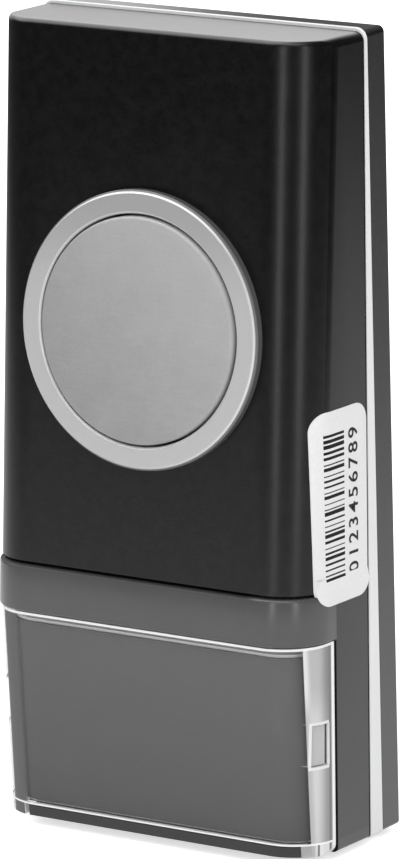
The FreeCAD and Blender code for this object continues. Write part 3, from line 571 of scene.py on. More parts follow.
class Finish(Nodes):
    """A material of one Principled shader."""

    def __init__(self, name, **constants):
        self.material = bpy.data.materials.new(name)
        self.material.use_nodes = True
        super().__init__(self.material.node_tree)
        self.shader = self.tree.nodes.new("ShaderNodeBsdfPrincipled")
        self.surface = self.tree.nodes.new("ShaderNodeOutputMaterial")
        self.tree.links.new(self.shader.outputs[0], self.surface.inputs[0])
        self.set(**constants)

    def set(self, **sockets):
        """Set or link the shader's own sockets, named in lower case with underscores."""
        for name, value in sockets.items():
            title = name.replace("_", " ").title().replace("Ior", "IOR")
            self.feed(self.shader.inputs[title], value)

    def blend(self, share, other):
        """Put another shader over the Principled one by a share."""
        own = Wire(self, self.shader.outputs[0])
        both = self.add("ShaderNodeMixShader", None, {0: share, 1: own, 2: other})
        self.feed(self.surface.inputs[0], both)

    def see_through(self, share):
        """Let a share of the light straight through, as clear plastic does."""
        self.blend(share, self.add("ShaderNodeBsdfTransparent", None, {"Color": grey(0.97)}))

    def painted_shade_line(self, share):
        """Lay dull black over the finish by a share: painted shade along a gap, seam or step."""
        self.blend(share, self.add("ShaderNodeBsdfDiffuse", None, {"Color": grey(0.002)}))

    def local(self, where):
        """Position in the millimetres of the plate, the front or the button."""
        inverse = where.inverted()
        sockets = {"Vector": self.add("ShaderNodeTexCoord", output="Object"),
                   "Location": tuple(inverse.to_translation()),
                   "Rotation": tuple(inverse.to_euler()), "Scale": tuple(inverse.to_scale())}
        return self.add("ShaderNodeMapping", {"vector_type": "POINT"}, sockets)

    def noise(self, vector, scale, detail=2.0, roughness=0.5):
        sockets = {"Vector": vector, "Scale": scale, "Detail": detail, "Roughness": roughness}
        return self.add("ShaderNodeTexNoise", None, sockets)

    def stretch(self, vector, scale):
        return self.add("ShaderNodeVectorMath", {"operation": "MULTIPLY"}, {0: vector, 1: scale})

    def bump(self, height, strength, distance):
        """Relief of a height map, whose full range is a distance in millimetres."""
        sockets = {"Strength": strength, "Distance": distance * MM, "Height": height}
        return self.add("ShaderNodeBump", None, sockets)


def begin(name, where, **constants):
    """A new finish, the position in a piece's millimetres, and the position's X, Y and Z."""
    finish = Finish(name, **constants)
    position = finish.local(where)
    return finish, position, *finish.parts(position)


def grey(level):
    return (level, level, level)


def scaled(colour, factor):
    return tuple(c * factor for c in colour)


def moulded(name, colour, rough, where, grain=3.0, relief=0.01, spread=0.12):
    """Moulded plastic: fine even grain, slight shifts of tone and gloss."""
    finish = Finish(name)
    position = finish.local(where)
    fine = finish.noise(position, grain, 3.0, 0.6)
    broad = finish.noise(position, 0.09)
    tone = finish.mix(broad, scaled(colour, 1 - spread), scaled(colour, 1 + spread))
    finish.set(base_color=tone, roughness=rough - 0.04 + 0.05 * broad + 0.03 * fine,
               normal=finish.bump(fine, 0.5, relief))
    return finish.material


def black_grain(finish, position, low, high):
    """Colour and height of satin black plastic: fine specks over faint clouds."""
    fine = finish.noise(position, 4.5, 3.0, 0.6)
    clouds = finish.noise(position, 0.8, 4.0, 0.65)
    share = fine.rise(0.3, 0.7) * 0.45 + clouds.rise(0.32, 0.68) * 0.55
    return finish.mix(share, grey(low), grey(high)), fine


def casing_finish():
    """Satin black casing: sides and sill paler towards the foot as painted light from the floor,
    and painted shade along the sides' back and step.
    """
    finish, position, x, y, z = begin("casing_satin_black", ON_FRONT)
    grain, fine = black_grain(finish, position, 0.0008, 0.0062)
    side = abs(x) > CASING_SIDE_X
    # Sides and sill paler towards the foot: painted light from the floor
    painted_foot_light = side * (1 - z.rise(*CASING_FOOT_LIGHT_Z)) * 0.026 + (z < CASING_SILL_Z) * 0.016
    finish.set(base_color=finish.mix(painted_foot_light, grain, grey(1.0)), roughness=0.295 + 0.03 * fine,
               normal=finish.bump(fine, 0.5, 0.012))
    # Painted shade along the back edge beside the seal and along the step behind the cover
    step = (y < CASING_STEP_SHADE_Y) * (z < COVER_TOP_Z)
    finish.painted_shade_line(side * step.either(y.rise(*CASING_BACK_SHADE_Y)) * 0.9)
    return finish.material


def plate_finish():
    """Grained black plate: sides paler towards the foot as painted light from the floor, top duller
    towards the right, and painted shade along the seam beside the seal.
    """
    finish, position, x, y, z = begin("plate_grained_black", ON_PLATE, specular_ior_level=0.66)
    grain, fine = black_grain(finish, position, 0.003, 0.012)
    side = abs(x) > PLATE_SIDE_X
    # Sides paler towards the foot: painted light from the floor
    painted_foot_light = side * (1 - z.rise(*PLATE_FOOT_LIGHT_Z)) * 0.05
    dull = (z > PLATE_TOP_Z) * x.rise(*PLATE_DULL_X)
    finish.set(base_color=finish.mix(painted_foot_light, grain, grey(1.0)),
               roughness=0.33 + 0.03 * fine + 0.62 * dull, normal=finish.bump(fine, 0.5, 0.007))
    # Painted shade in the gap beside the seal
    finish.painted_shade_line(side * (1 - y.rise(*PLATE_SEAM_SHADE_Y)) * 0.85)
    return finish.material


def band_finish():
    """Satin grey band, rougher and darker in painted shade along its rounded top, less so near the
    right corner.
    """
    finish, position, x, y, z = begin("band_satin_grey", ON_FRONT)
    fine = finish.noise(position, 4.0, 3.0, 0.6)
    broad = finish.noise(position, 0.2)
    # Painted shade and more roughness along the rounded top under the groove, fading out near the
    # right corner
    dull = z.rise(*BAND_TOP_SHADE_Z) * (1 - x.rise(*BAND_SHADE_FADE_X) * 0.9)
    tone = finish.mix(fine * 0.5 + broad * 0.5, grey(0.066), grey(0.082))
    finish.set(base_color=finish.mix(dull, tone, grey(0.012)),
               roughness=0.2 + 0.04 * fine + 0.5 * dull, normal=finish.bump(fine, 0.5, 0.008))
    return finish.material


def metal(name, colour, rough, lines=(1.0, 1.0, 6.0)):
    """Plated or drawn metal: fine lines and faint stains."""
    finish = Finish(name, metallic=1.0)
    position = finish.local(ON_PLATE)
    drawn = finish.noise(finish.stretch(position, lines), 3.0, 3.0)
    stain = finish.noise(position, 0.6, 3.0)
    finish.set(base_color=finish.mix(drawn * 0.4 + stain * 0.6, scaled(colour, 0.75), colour),
               roughness=rough + 0.15 * stain, normal=finish.bump(drawn, 0.3, 0.008))
    return finish.material


def ended(name, body, rough, tinned):
    """Part with tinned ends or legs, where a mask of the plate's x, y and z is 1."""
    finish = Finish(name)
    position = finish.local(ON_PLATE)
    tin = tinned(*finish.parts(position))
    fine = finish.noise(position, 5.0, 3.0)
    tone = finish.mix(fine, scaled(body, 0.8), scaled(body, 1.2))
    finish.set(base_color=finish.mix(tin, tone, (0.66, 0.65, 0.62)), metallic=tin,
               roughness=rough + 0.1 * fine - tin * (rough - 0.22),
               normal=finish.bump(fine, 0.4, 0.01))
    return finish.material


def board_finish():
    """Green board: copper tracks under the mask in both directions, and a bare edge."""
    finish, position, x, y, z = begin("board_green_mask", ON_PLATE, specular_ior_level=0.5)

    def tracks(across, along, seed):
        lane = across * TRACKS_PER_MM
        middle = abs(lane.fraction() - 0.5) < 0.14
        spot = finish.add("ShaderNodeCombineXYZ", None,
                          {0: lane.whole() * 3.7 + seed, 1: along * 0.11, 2: seed})
        return middle * (finish.noise(spot, 1.0, 1.0) > 0.52)

    copper = tracks(x, z, 4.0).either(tracks(z, x, 11.0))
    fine = finish.noise(position, 6.0)
    edge = (abs(x) > BOARD_HALF).either(z < BOARD_LOW_Z).either(z > BOARD_TOP_Z)
    mask = finish.mix(fine, (0.012, 0.075, 0.03), (0.018, 0.095, 0.04))
    tone = finish.layers(mask, (copper, (0.045, 0.2, 0.07)), (edge, (0.42, 0.38, 0.24)))
    finish.set(base_color=tone, roughness=0.24 + 0.1 * fine + 0.4 * edge,
               normal=finish.bump(copper * 0.8 + fine * 0.2, 0.5, 0.02))
    return finish.material


def battery_finish():
    """Cell in a plain sleeve: a pale band at its plus end, a shrunk seam and bare metal ends."""
    finish, position, x, y, z = begin("battery_plain_sleeve", ON_PLATE)
    fine = finish.noise(finish.stretch(position, (0.3, 1.0, 1.0)), 4.0, 3.0)
    band = abs(x - SLEEVE_BAND_X) < SLEEVE_BAND_HALF
    seam_and_shade_line = abs(z - SLEEVE_SEAM_Z) < SLEEVE_SEAM_HALF
    bare = abs(x) > SLEEVE_HALF
    sleeve = finish.mix(fine, (0.016, 0.02, 0.032), (0.024, 0.03, 0.046))
    tone = finish.layers(sleeve, (band, (0.45, 0.36, 0.17)), (seam_and_shade_line, (0.06, 0.065, 0.075)),
                         (bare, (0.68, 0.66, 0.62)))
    finish.set(base_color=tone, metallic=bare, roughness=0.3 + 0.12 * fine,
               normal=finish.bump(fine, 0.3, 0.01))
    return finish.material


def ring_finish():
    """Satin silver ring: fine lines run round it, painted shade darkens it to the top and on its
    outer wall, and painted highlights lie on its bevel and inner lip.
    """
    finish, position, x, y, z = begin("ring_satin_silver", ON_BUTTON)
    radius = (x * x + z * z).root()
    lines = finish.add("ShaderNodeTexNoise", {"noise_dimensions": "1D"},
                       {"W": radius, "Scale": 14.0, "Detail": 2.0})
    speckle = finish.noise(position, 6.0, 3.0, 0.6)
    bevel = radius.within(*RING_BEVEL_HIGHLIGHT_R, soft=0.08)
    lip = radius < RING_LIP_HIGHLIGHT_R
    # Painted shade towards the top and on the outer wall; painted highlights on the bevel and the
    # inner lip
    tone = finish.layers(finish.mix(lines * 0.4 + speckle * 0.6, grey(0.52), grey(0.63)),
                         (z.rise(*RING_TOP_SHADE_Z) * 0.46, grey(0.28)),
                         ((bevel * 0.55).either(lip * 0.7), grey(0.8)),
                         (radius.rise(*RING_WALL_SHADE_R) * 0.8, grey(0.06)))
    finish.set(base_color=tone, metallic=0.45 + 0.15 * bevel, roughness=0.36 + 0.12 * speckle,
               normal=finish.bump(lines * 0.5 + speckle * 0.5, 0.3, 0.008))
    return finish.material


def cap_finish():
    """Satin disc: faint level brushing, a fine speckle, and a painted shade that falls to the lower
    left.
    """
    finish, position, x, y, z = begin("disc_satin_grey", ON_BUTTON, metallic=0.22)
    brushed = finish.noise(finish.stretch(position, (0.25, 1.0, 5.0)), 1.6, 3.0, 0.6)
    speckle = finish.noise(position, 5.5, 3.0, 0.7)
    broad = finish.noise(position, 0.35, 3.0)
    grain = (brushed - 0.5) * 0.2 + (speckle - 0.5) * 0.5 + (broad - 0.5) * 0.3
    # Painted shade: the tone falls to the lower left, with the grain over it
    share = 0.47 + x * 0.0158 + z * 0.0191 + grain
    finish.set(base_color=finish.mix(share, grey(0.26), grey(0.47)),
               roughness=0.45 + 0.1 * speckle, normal=finish.bump(speckle, 0.2, 0.006))
    return finish.material


def card_finish():
    """Plain grey card with faint paper fibres, a little darker towards its foot."""
    finish, position, x, y, z = begin("card_plain_grey", ON_FRONT, roughness=0.8,
                                      specular_ior_level=0.3)
    fibres = finish.noise(finish.stretch(position, (1.0, 1.0, 2.4)), 2.2, 4.0, 0.6)
    share = z * 0.048 + (fibres - 0.5) * 0.12
    finish.set(base_color=finish.mix(share, grey(0.073), grey(0.112)),
               normal=finish.bump(fibres, 0.06, 0.004))
    return finish.material


def tray_finish():
    """White tray with painted light: brighter towards its foot and along the card's end."""
    finish, position, x, y, z = begin("tray_white", ON_FRONT, roughness=0.5)
    fine = finish.noise(position, 2.0, 3.0)
    # Painted light: paler at the foot from the floor, and along the card's end
    at_foot = (1 - z.rise(*TRAY_FOOT_LIGHT_Z)) * 0.45
    at_end = (1 - abs(x).rise(*TRAY_END_LIGHT_X)) * z.rise(*TRAY_END_LIGHT_Z) * 0.8
    tone = finish.layers(finish.mix(fine, grey(0.6), grey(0.66)), (at_foot, grey(1.0)),
                         (at_end, grey(0.95)))
    finish.set(base_color=tone, normal=finish.bump(fine, 0.4, 0.01))
    return finish.material


def label_finish():
    """White label with a plain row of bars in a rhythm of its own."""
    finish, position, x, y, z = begin("label_white_printed", ON_FRONT, roughness=0.6,
                                      specular_ior_level=0.3)
    cell = z * BAR_CELLS_PER_MM
    dice = finish.add("ShaderNodeTexWhiteNoise", {"noise_dimensions": "1D"}, {"W": cell.whole()})
    field = z.within(BARS_LOW_Z, BARS_TOP_Z) * y.within(-BARS_FRONT_Y, -BARS_BACK_Y)
    bars = (cell.fraction() < 0.17 + 0.58 * dice) * field
    fine = finish.noise(position, 4.0, 3.0, 0.6)
    paper = finish.mix(fine, grey(0.7), grey(0.82))
    finish.set(base_color=finish.mix(bars, paper, grey(0.004)))
    return finish.material


def skin_finish():
    """Outer skin of the clear cover: thin gloss, painted highlights along its edges, painted shade
    lines, painted light and shade in grey tones where its corner is solid, and a painted lens at
    its corners.
    """
    finish, position, x, y, z = begin("cover_clear_skin", ON_FRONT)
    eye = finish.ray("Camera")
    # Painted lens: for camera rays, a dark tone where the card would be seen bent through the
    # corners, also at the grazing left edge
    facing = finish.add("ShaderNodeLayerWeight", None, {"Blend": 0.5}, output="Facing")
    corner = abs(x).within(HALF - FRONT_CORNER, LENS_END_X)
    lens = corner * (facing.rise(*LENS_NEAR) - facing.rise(*LENS_FAR)) * eye
    left_lens = (x < FRONT_CORNER - HALF) * facing.rise(*LEFT_LENS_FACING) * eye
    # Painted highlights: pale lines along the rim, the top and the foot, a pale frame round each
    # side window and a pale strip at the back of the leg
    foot = (z > TRAY_LOW_Z) * (1 - z.rise(*FOOT_LINE_Z))
    bright = y.rise(*COVER_RIM_Y).either(z.rise(*TOP_LINE_Z)).either(foot)
    # Painted shade: a dark line down the side just before the rim, and a dark slit line in the
    # right leg
    seam_and_shade_line = y.within(*SIDE_SHADE_LINE_Y, soft=0.1)
    window = z.within(CATCH_LOW_Z - WINDOW_FRAME, CATCH_TOP_Z + WINDOW_FRAME, soft=0.08)
    window = window * y.rise(*WINDOW_FRONT_Y) * (y < WINDOW_BACK_Y)
    leg = (z < TRAY_LOW_Z) * (x > 0)
    leg_slit_shade = leg * y.within(*LEG_SLIT_SHADE_Y)
    leg_back = leg * y.within(*LEG_BACK_Y)

    # Painted light and shade where the corner is made solid: grey tones by height and by which way
    # the skin faces, the leg lighter as it turns to the side
    upper = z.rise(*UPPER_Z)
    front_tone = finish.mix(upper, grey(0.46), grey(0.7))
    side_tone = finish.mix(upper, grey(0.6), grey(0.45))
    back_tone = finish.mix(upper, grey(0.3), grey(0.24))
    leg_tone = finish.mix(x.rise(*LEG_TURN_X), grey(0.42), grey(0.7))
    tone = finish.layers(front_tone, (x.rise(*TURN_X), side_tone),
                         (y.rise(*COVER_BACK_Y), back_tone), (leg, leg_tone),
                         (seam_and_shade_line.either(leg_slit_shade), grey(0.19)),
                         ((window * (1 - seam_and_shade_line)).either(leg_back), grey(0.74)),
                         (lens.either(left_lens).rise(0.0, 0.05), grey(0.1)), (bright, grey(0.88)))

    solid = lens.either(bright * 0.95).either(x.rise(*PAINTED_CORNER_X))
    solid = solid.either(leg * 0.85).either(window * 0.8).either(left_lens * 0.25)
    finish.set(base_color=finish.mix(solid.rise(0.0, 0.05), grey(0.9), tone),
               metallic=1 - solid.rise(0.0, 0.1), roughness=0.26 + 0.3 * solid)
    gloss = COVER_GLOSS + 0.01 * finish.noise(position, 0.3)
    finish.see_through(1 - gloss.either(solid))
    return finish.material


def inner_skin_finish():
    """Inner skin of the clear cover, all but clear."""
    finish = Finish("cover_clear_inside", base_color=grey(0.8), roughness=0.3)
    finish.see_through(1 - finish.noise(finish.local(ON_FRONT), 0.4) * 0.02)
    return finish.material


def cut_edge_finish(name, tone, through, inside=None):
    """Cut edge, which gathers light and lets a share through, or another when seen from inside."""
    finish = Finish(name, roughness=0.3)
    haze = finish.noise(finish.local(ON_FRONT), 1.5)
    finish.set(base_color=finish.mix(haze, grey(tone * 0.9), grey(tone)))
    if inside is not None:
        from_inside = finish.add("ShaderNodeNewGeometry", output="Backfacing")
        through = through + from_inside * (inside - through)
    finish.see_through(through + haze * 0.02)
    return finish.material


def slot_edge_finish():
    """Cut edge behind a catch: painted shade within, a painted highlight along the outer skin."""
    finish, position, x, y, z = begin("cover_slot_edge", ON_FRONT, roughness=0.4)
    dark = finish.mix(finish.noise(position, 2.0), grey(0.16), grey(0.22))
    finish.set(base_color=finish.mix(abs(x).rise(*SLOT_OUTER_X), dark, grey(0.9)))
    return finish.material


CASING = casing_finish()
PLATE = plate_finish()
BAND = band_finish()
TRAY = tray_finish()
CATCH = moulded("catch_white", grey(0.46), 0.4, ON_FRONT, grain=2.0, spread=0.05)
SEAL = moulded("seal_white", grey(0.77), 0.55, ON_PLATE, grain=2.5, relief=0.02, spread=0.04)
RING = ring_finish()
DISC = cap_finish()
CARD = card_finish()
LABEL = label_finish()
INK = moulded("label_ink", grey(0.004), 0.6, ON_FRONT)
SKIN = skin_finish()
INSIDE = inner_skin_finish()
CUT_EDGE = cut_edge_finish("cover_cut_edge", 0.9, 0.25)
SLIT_EDGE = cut_edge_finish("cover_slit_edge", 0.95, 0.02, inside=0.95)
SLOT_EDGE = slot_edge_finish()
BLACK_MOULDED = moulded("inner_black", grey(0.012), 0.38, ON_PLATE, relief=0.012, spread=0.2)
STEEL = metal("screw_steel", (0.62, 0.62, 0.63), 0.26)
NICKEL = metal("contact_nickel", (0.75, 0.74, 0.71), 0.2)

# Finish of each inner node, whose own shape is shown
INNER_FINISHES = {
    "wall_plate": PLATE, "snap_tongues": PLATE,
    "cap_carrier": BLACK_MOULDED, "membrane_retainer": BLACK_MOULDED, "switch_body": BLACK_MOULDED,
    "board_screws": STEEL, "retainer_screws": STEEL,
    "plus_contact": NICKEL, "minus_contact": NICKEL, "minus_spring": NICKEL,
    "circuit_board": board_finish(), "battery": battery_finish(),
    "resonator_can": metal("can_nickel", (0.7, 0.69, 0.66), 0.16, (1.0, 1.0, 1.0)),
    "antenna_coil": metal("coil_copper", (0.72, 0.36, 0.17), 0.24, (8.0, 1.0, 1.0)),
    "switch_plunger": moulded("plunger_ivory", (0.66, 0.62, 0.5), 0.4, ON_PLATE, grain=2.0),
    "rubber_membrane": moulded("membrane_silicone", (0.42, 0.43, 0.44), 0.5, ON_FRONT,
                               grain=1.5, relief=0.02),
    "encoder_chip": ended("chip_epoxy", grey(0.014), 0.5,
                          lambda x, y, z: abs(x - CHIP_X) > CHIP_HALF),
    "chip_resistors": ended("resistor_ceramic", grey(0.03), 0.35,
                            lambda x, y, z: abs(x - RESISTOR_X) > RESISTOR_HALF),
    "chip_capacitors": ended("capacitor_ceramic", (0.42, 0.3, 0.17), 0.4,
                             lambda x, y, z: abs(abs(x) - CAPACITOR_X) > CAPACITOR_HALF),
}


# Pieces

def front_casing():
    """Black casing: full above the groove, drawn in below it where the band and the cover go."""
    upper = block(0, GROOVE_Z, HEIGHT)

    def is_top_rim(edge):
        lowest = min(v.co.z for v in edge.verts)
        foremost = min(v.co.y for v in edge.verts)
        return lowest > HEIGHT - CLOSE and foremost < -CLOSE

    upper = round_off(upper, TOP_EDGE_ROUND, TOP_EDGE_STEPS, is_top_rim)
    band_seat = block(BAND_THICK - BAND_PROUD + GLUE_LINE, RIDGE_Z, GROOVE_Z)
    core = block(CORE_IN, 0, RIDGE_Z)
    shoulders = trim(block(0, 0, GROOVE_Z), (0, -SIDE_STEP_Y, 0), (0, -1, 0))
    sill = block(GLUE_LINE, FOOT_RISE, SILL_HEIGHT)
    trim(sill, (-SILL_LEFT, 0, 0), (-1, 0, 0))
    trim(sill, (SILL_RIGHT, 0, 0), (1, 0, 0))
    body = join(upper, band_seat, core, shoulders, sill)
    body = common(body, outline_cutter(FOOT_CORNER))
    low_in = CORE_IN + CORE_WALL
    step_z = GROOVE_Z + CORE_WALL
    body = cut(body, block(WALL, step_z, HEIGHT - WALL, PAST),
               block(low_in + CARD_GAP, RIDGE_Z - OVERLAP, step_z + OVERLAP, PAST, upper_depth),
               block(low_in, WALL, RIDGE_Z, PAST),
               box(WALL - HALF, HALF - WALL, CORE_WALL - SIDE_STEP_Y, PAST, WALL, step_z))
    hole = rod(HOLE_R, -TOP_DEPTH, WALL + PAST)
    hole.transform(FACE_SHIFT @ FACE_TURN)
    place(cut(body, hole), "front_casing_shell", ON_FRONT, "front", "front_casing",
          [CASING], edge=0.14)


def is_outside(verts, inset, depth):
    """True where points lie on the front's own surface at an inset, and not along its back."""
    for v in verts:
        x, y = abs(v.co.x), v.co.y
        centre_x, centre_y = HALF - FRONT_CORNER, FRONT_CORNER - depth(v.co.z)
        if x > centre_x and y < centre_y:
            off = math.hypot(x - centre_x, y - centre_y) - (FRONT_CORNER - inset)
        else:
            off = max(x - (HALF - inset), -y - (depth(v.co.z) - inset))
        if abs(off) > SKIN_REACH:
            return False
    return not all(v.co.y > -SIDE_STEP_Y - 0.1 for v in verts)


def trim_band():
    """Grey band, rounded more along its top than along its foot."""
    top_z = GROOVE_Z - BAND_GROOVE
    band = ribbon(-BAND_PROUD, BAND_THICK - BAND_PROUD, RIDGE_Z, top_z, -SIDE_STEP_Y - GLUE_LINE)
    for z, radius, steps in ((top_z, BAND_TOP_ROUND, 5), (RIDGE_Z, BAND_FOOT_ROUND, 3)):

        def is_outer_rim(edge):
            at_height = all(abs(v.co.z - z) < CLOSE for v in edge.verts)
            return at_height and is_outside(edge.verts, -BAND_PROUD, upper_depth)

        round_off(band, radius, steps, is_outer_rim)
    place(band, "trim_band_wrap", ON_FRONT, "front", "trim_band", [BAND])


def card_tray():
    """White tray behind the card, open where the catches stand."""
    inner = TRAY_IN + TRAY_THICK
    tray = ribbon(TRAY_IN, inner, TRAY_LOW_Z, TRAY_TOP_Z, -SIDE_STEP_Y - GLUE_LINE)
    low_z = CATCH_LOW_Z - CATCH_HEIGHT
    tray = cut(tray, *[catch_zone(side, 0, inner + PAST, low_z, CATCH_TOP_Z, 0)
                       for side in (-1, 1)])
    place(tray, "card_tray_white", ON_FRONT, "front", "card_tray", [TRAY],
          edge=0.08)


def cover_catches():
    """Springy catch on each side, whose neck and head stand in the cover's side window."""
    low_z = CATCH_LOW_Z + CATCH_FREE
    high_z = CATCH_TOP_Z - CATCH_FREE
    tongue_in = TRAY_IN + CATCH_THICK
    back_y = CATCH_NUB_LONG - CATCH_FRONT_Y
    pieces = []
    for side in (-1, 1):
        tongue = catch_zone(side, TRAY_IN, tongue_in, CATCH_LOW_Z - CATCH_HEIGHT, high_z,
                            -CATCH_FREE)
        head = common(ribbon(2 * CATCH_FREE, CATCH_HEAD_IN, low_z, high_z, -SIDE_STEP_Y),
                      side_box(side, CATCH_FREE - CATCH_FRONT_Y, back_y, low_z, high_z))
        neck = common(ribbon(CATCH_NECK_IN, tongue_in, low_z, high_z, -SIDE_STEP_Y),
                      side_box(side, CATCH_NECK_Y, back_y, low_z, high_z))
        pieces.append(join(tongue, head, neck))
    pair, other = pieces
    lay_beside(pair, other)
    place(pair, "cover_catch_pair", ON_FRONT, "front", "cover_catches", [CATCH],
          edge=0.1)


def name_card():
    """Blank card, bent round both corners."""
    card = ribbon(CARD_IN, CARD_IN + CARD_THICK, TRAY_LOW_Z + CARD_MARGIN,
                  TRAY_TOP_Z - CARD_MARGIN, -SIDE_STEP_Y)
    width = box(-CARD_HALF_WIDTH, CARD_HALF_WIDTH, -2 * RIDGE_DEPTH, 0, 0, HEIGHT)
    place(common(card, width), "name_card_blank", ON_FRONT, "front", "name_card",
          [CARD], edge=0.04)


COVER_FINISHES = [SKIN, INSIDE, CUT_EDGE, SLIT_EDGE, SLOT_EDGE]


def cover_layer(face, back_y):
    """Finish of a face of the cover: an outer or inner skin, a cut edge, a slit's or a slot's."""
    centre = face.calc_center_median()
    if is_outside(face.verts, 0, lower_depth):
        return SKIN
    off_notch = min(abs(centre.x + NOTCH_LEFT), abs(centre.x - NOTCH_RIGHT))
    if abs(face.normal.x) > 0.9 and off_notch < 0.05:
        return SLIT_EDGE
    if face.normal.y < -0.5 and abs(centre.y + CATCH_FRONT_Y - CATCH_LONG) < 0.3:
        return SLOT_EDGE
    if abs(face.normal.z) > 0.5 or centre.y > back_y - HAIR:
        return CUT_EDGE
    return INSIDE


def window_cover():
    """Clear cover over the card, with a roof, a notch at its foot and a window on each side."""
    back_y = -SIDE_STEP_Y - STEP_GAP
    under_roof = COVER_TOP_Z - ROOF_THICK
    cover = cut(block(0, FOOT_RISE, COVER_TOP_Z, back_y, lower_depth),
                block(COVER_THICK, -PAST, under_roof, back_y + PAST, lower_depth),
                block(CORE_IN - GLUE_LINE, under_roof - PAST, COVER_TOP_Z + PAST, back_y + PAST,
                      lower_depth),
                box(-NOTCH_LEFT, NOTCH_RIGHT, -2 * RIDGE_DEPTH, 0, -PAST, TRAY_LOW_Z),
                *[catch_zone(side, -PAST, COVER_THICK + PAST, CATCH_LOW_Z, CATCH_TOP_Z, 0)
                  for side in (-1, 1)])
    cover = common(cover, outline_cutter())
    bmesh.ops.recalc_face_normals(cover, faces=cover.faces)
    for face in cover.faces:
        face.material_index = COVER_FINISHES.index(cover_layer(face, back_y))
    place(cover, "window_cover_clear", ON_FRONT, "cover", "window_cover",
          COVER_FINISHES, edge=0.1)


def side_label():
    """Thin label on the right side that bends onto the corner and rises over the band's edge."""
    out = LAID_GAP + LABEL_THICK
    step_z = GROOVE_Z - BAND_GROOVE + LAID_GAP
    over = ribbon(-out, -LAID_GAP, GROOVE_Z, LABEL_TOP_Z, 0)
    ledge = ribbon(-out - BAND_PROUD, -LAID_GAP, step_z, GROOVE_Z, 0)
    low = ribbon(-out - BAND_PROUD, -LAID_GAP - BAND_PROUD, LABEL_LOW_Z, step_z, 0)
    half = (LABEL_FRONT_Y - LABEL_BACK_Y) / 2
    outline = slab(half, LABEL_LOW_Z, LABEL_TOP_Z, 0, HALF, LABEL_CORNER)
    middle = Matrix.Translation((HALF / 2, -(LABEL_FRONT_Y + LABEL_BACK_Y) / 2, 0))
    outline.transform(middle @ Matrix.Rotation(-math.pi / 2, 4, "Z"))
    sheet = common(join(over, ledge, low), outline)
    for v in sheet.verts:
        on_skin = abs(v.co.x - HALF - out) < 0.01 or is_outside([v], -out, upper_depth)
        if abs(v.co.z - GROOVE_Z) < CLOSE and on_skin:
            v.co.z += LABEL_RAMP
    place(sheet, "side_label_sheet", ON_FRONT, "front", "side_label", [LABEL])


def label_digits():
    """Plain figures in order, printed along the label with their tops to the front."""
    text = bpy.data.curves.new("digits", "FONT")
    text.body = "0123456789"
    text.size = DIGIT_SIZE * MM
    text.space_character = DIGIT_SPACING
    text.offset = DIGIT_BOLD * MM
    curve = new_object("digits", text)
    seen = curve.evaluated_get(bpy.context.evaluated_depsgraph_get())
    bm = bmesh.new()
    bm.from_mesh(bpy.data.meshes.new_from_object(seen))
    bpy.data.objects.remove(curve)
    bmesh.ops.scale(bm, vec=(1 / MM, 1 / MM, 1 / MM), verts=bm.verts)
    bmesh.ops.remove_doubles(bm, verts=bm.verts, dist=DIGIT_MERGED)
    width = max(v.co.x for v in bm.verts)
    bmesh.ops.scale(bm, vec=((BARS_TOP_Z - BARS_LOW_Z) / width, 1, 1), verts=bm.verts)
    out = HALF + LAID_GAP + LABEL_THICK + INK_THICK
    upright = ((0, 0, 1, out), (0, -1, 0, DIGIT_BASE_Y), (1, 0, 0, BARS_LOW_Z), (0, 0, 0, 1))
    bm.transform(Matrix(upright))
    grow(bm, bm.faces[:], (INK_THICK, 0, 0))
    place(bm, "side_label_digits", ON_FRONT, "front", "side_label", [INK])


def button_ring():
    """Silver ring with a collar through the casing."""
    profile = [(CAP_BORE_R, WALL), (HOLE_R - GLUE_LINE, WALL), (HOLE_R - GLUE_LINE, 0),
               (RING_BASE_R, 0), (RING_BASE_R, RING_BEVEL - RING_PROUD),
               (RING_BASE_R - RING_BEVEL, -RING_PROUD),
               (CAP_BORE_R + RING_INNER_BEVEL, -RING_PROUD),
               (CAP_BORE_R, RING_INNER_BEVEL - RING_PROUD)]
    place(turned(profile), "button_ring_silver", ON_BUTTON, "front", "button_ring",
          [RING], edge=0.05)


def button_cap():
    """Satin disc that is pressed, with a skirt behind its face."""
    back = CAP_FACE + CAP_SKIRT
    inner_r = CAP_R - CAP_THICK
    inner_y = CAP_FACE + CAP_THICK
    disc = turned([(0, CAP_FACE), (CAP_R, CAP_FACE), (CAP_R, back), (inner_r, back),
                   (inner_r, inner_y), (0, inner_y)])

    def is_rim(edge):
        return all(abs(v.co.y - CAP_FACE) < CLOSE and v.co.xz.length > CAP_R - HAIR
                   for v in edge.verts)

    round_off(disc, CAP_EDGE, 6, is_rim)
    place(disc, "button_cap_disc", ON_BUTTON, "button", "button_cap", [DISC])


def seal_frame():
    """White wedge seal between the plate and the leaning front."""
    deep = -PLATE_THICK - SEAL_LOW_THICK - PAST
    outer = slab(HALF + SEAL_PROUD, -SEAL_PROUD, HEIGHT + SEAL_TOP_PROUD, deep, -PLATE_THICK,
                 OUTLINE_CORNER + SEAL_PROUD, FOOT_CORNER + SEAL_PROUD)
    opening = slab(RIM_HALF + GLUE_LINE, RIM_LOW_Z - GLUE_LINE, RIM_TOP_Z + GLUE_LINE,
                   deep - PAST, PAST - PLATE_THICK, RIM_CORNER + GLUE_LINE)
    outer = cut(outer, opening)
    outer.transform(ON_PLATE)
    outer.transform(ON_FRONT.inverted())
    behind_front = box(-WIDTH, WIDTH, GLUE_LINE, HALF, -HALF, HEIGHT + HALF)
    place(common(outer, behind_front), "seal_frame_white", ON_FRONT, "base", "seal_frame",
          [SEAL], edge=0.07)


for build in (front_casing, trim_band, card_tray, cover_catches, name_card, window_cover,
              side_label, label_digits, button_ring, button_cap, seal_frame):
    build()

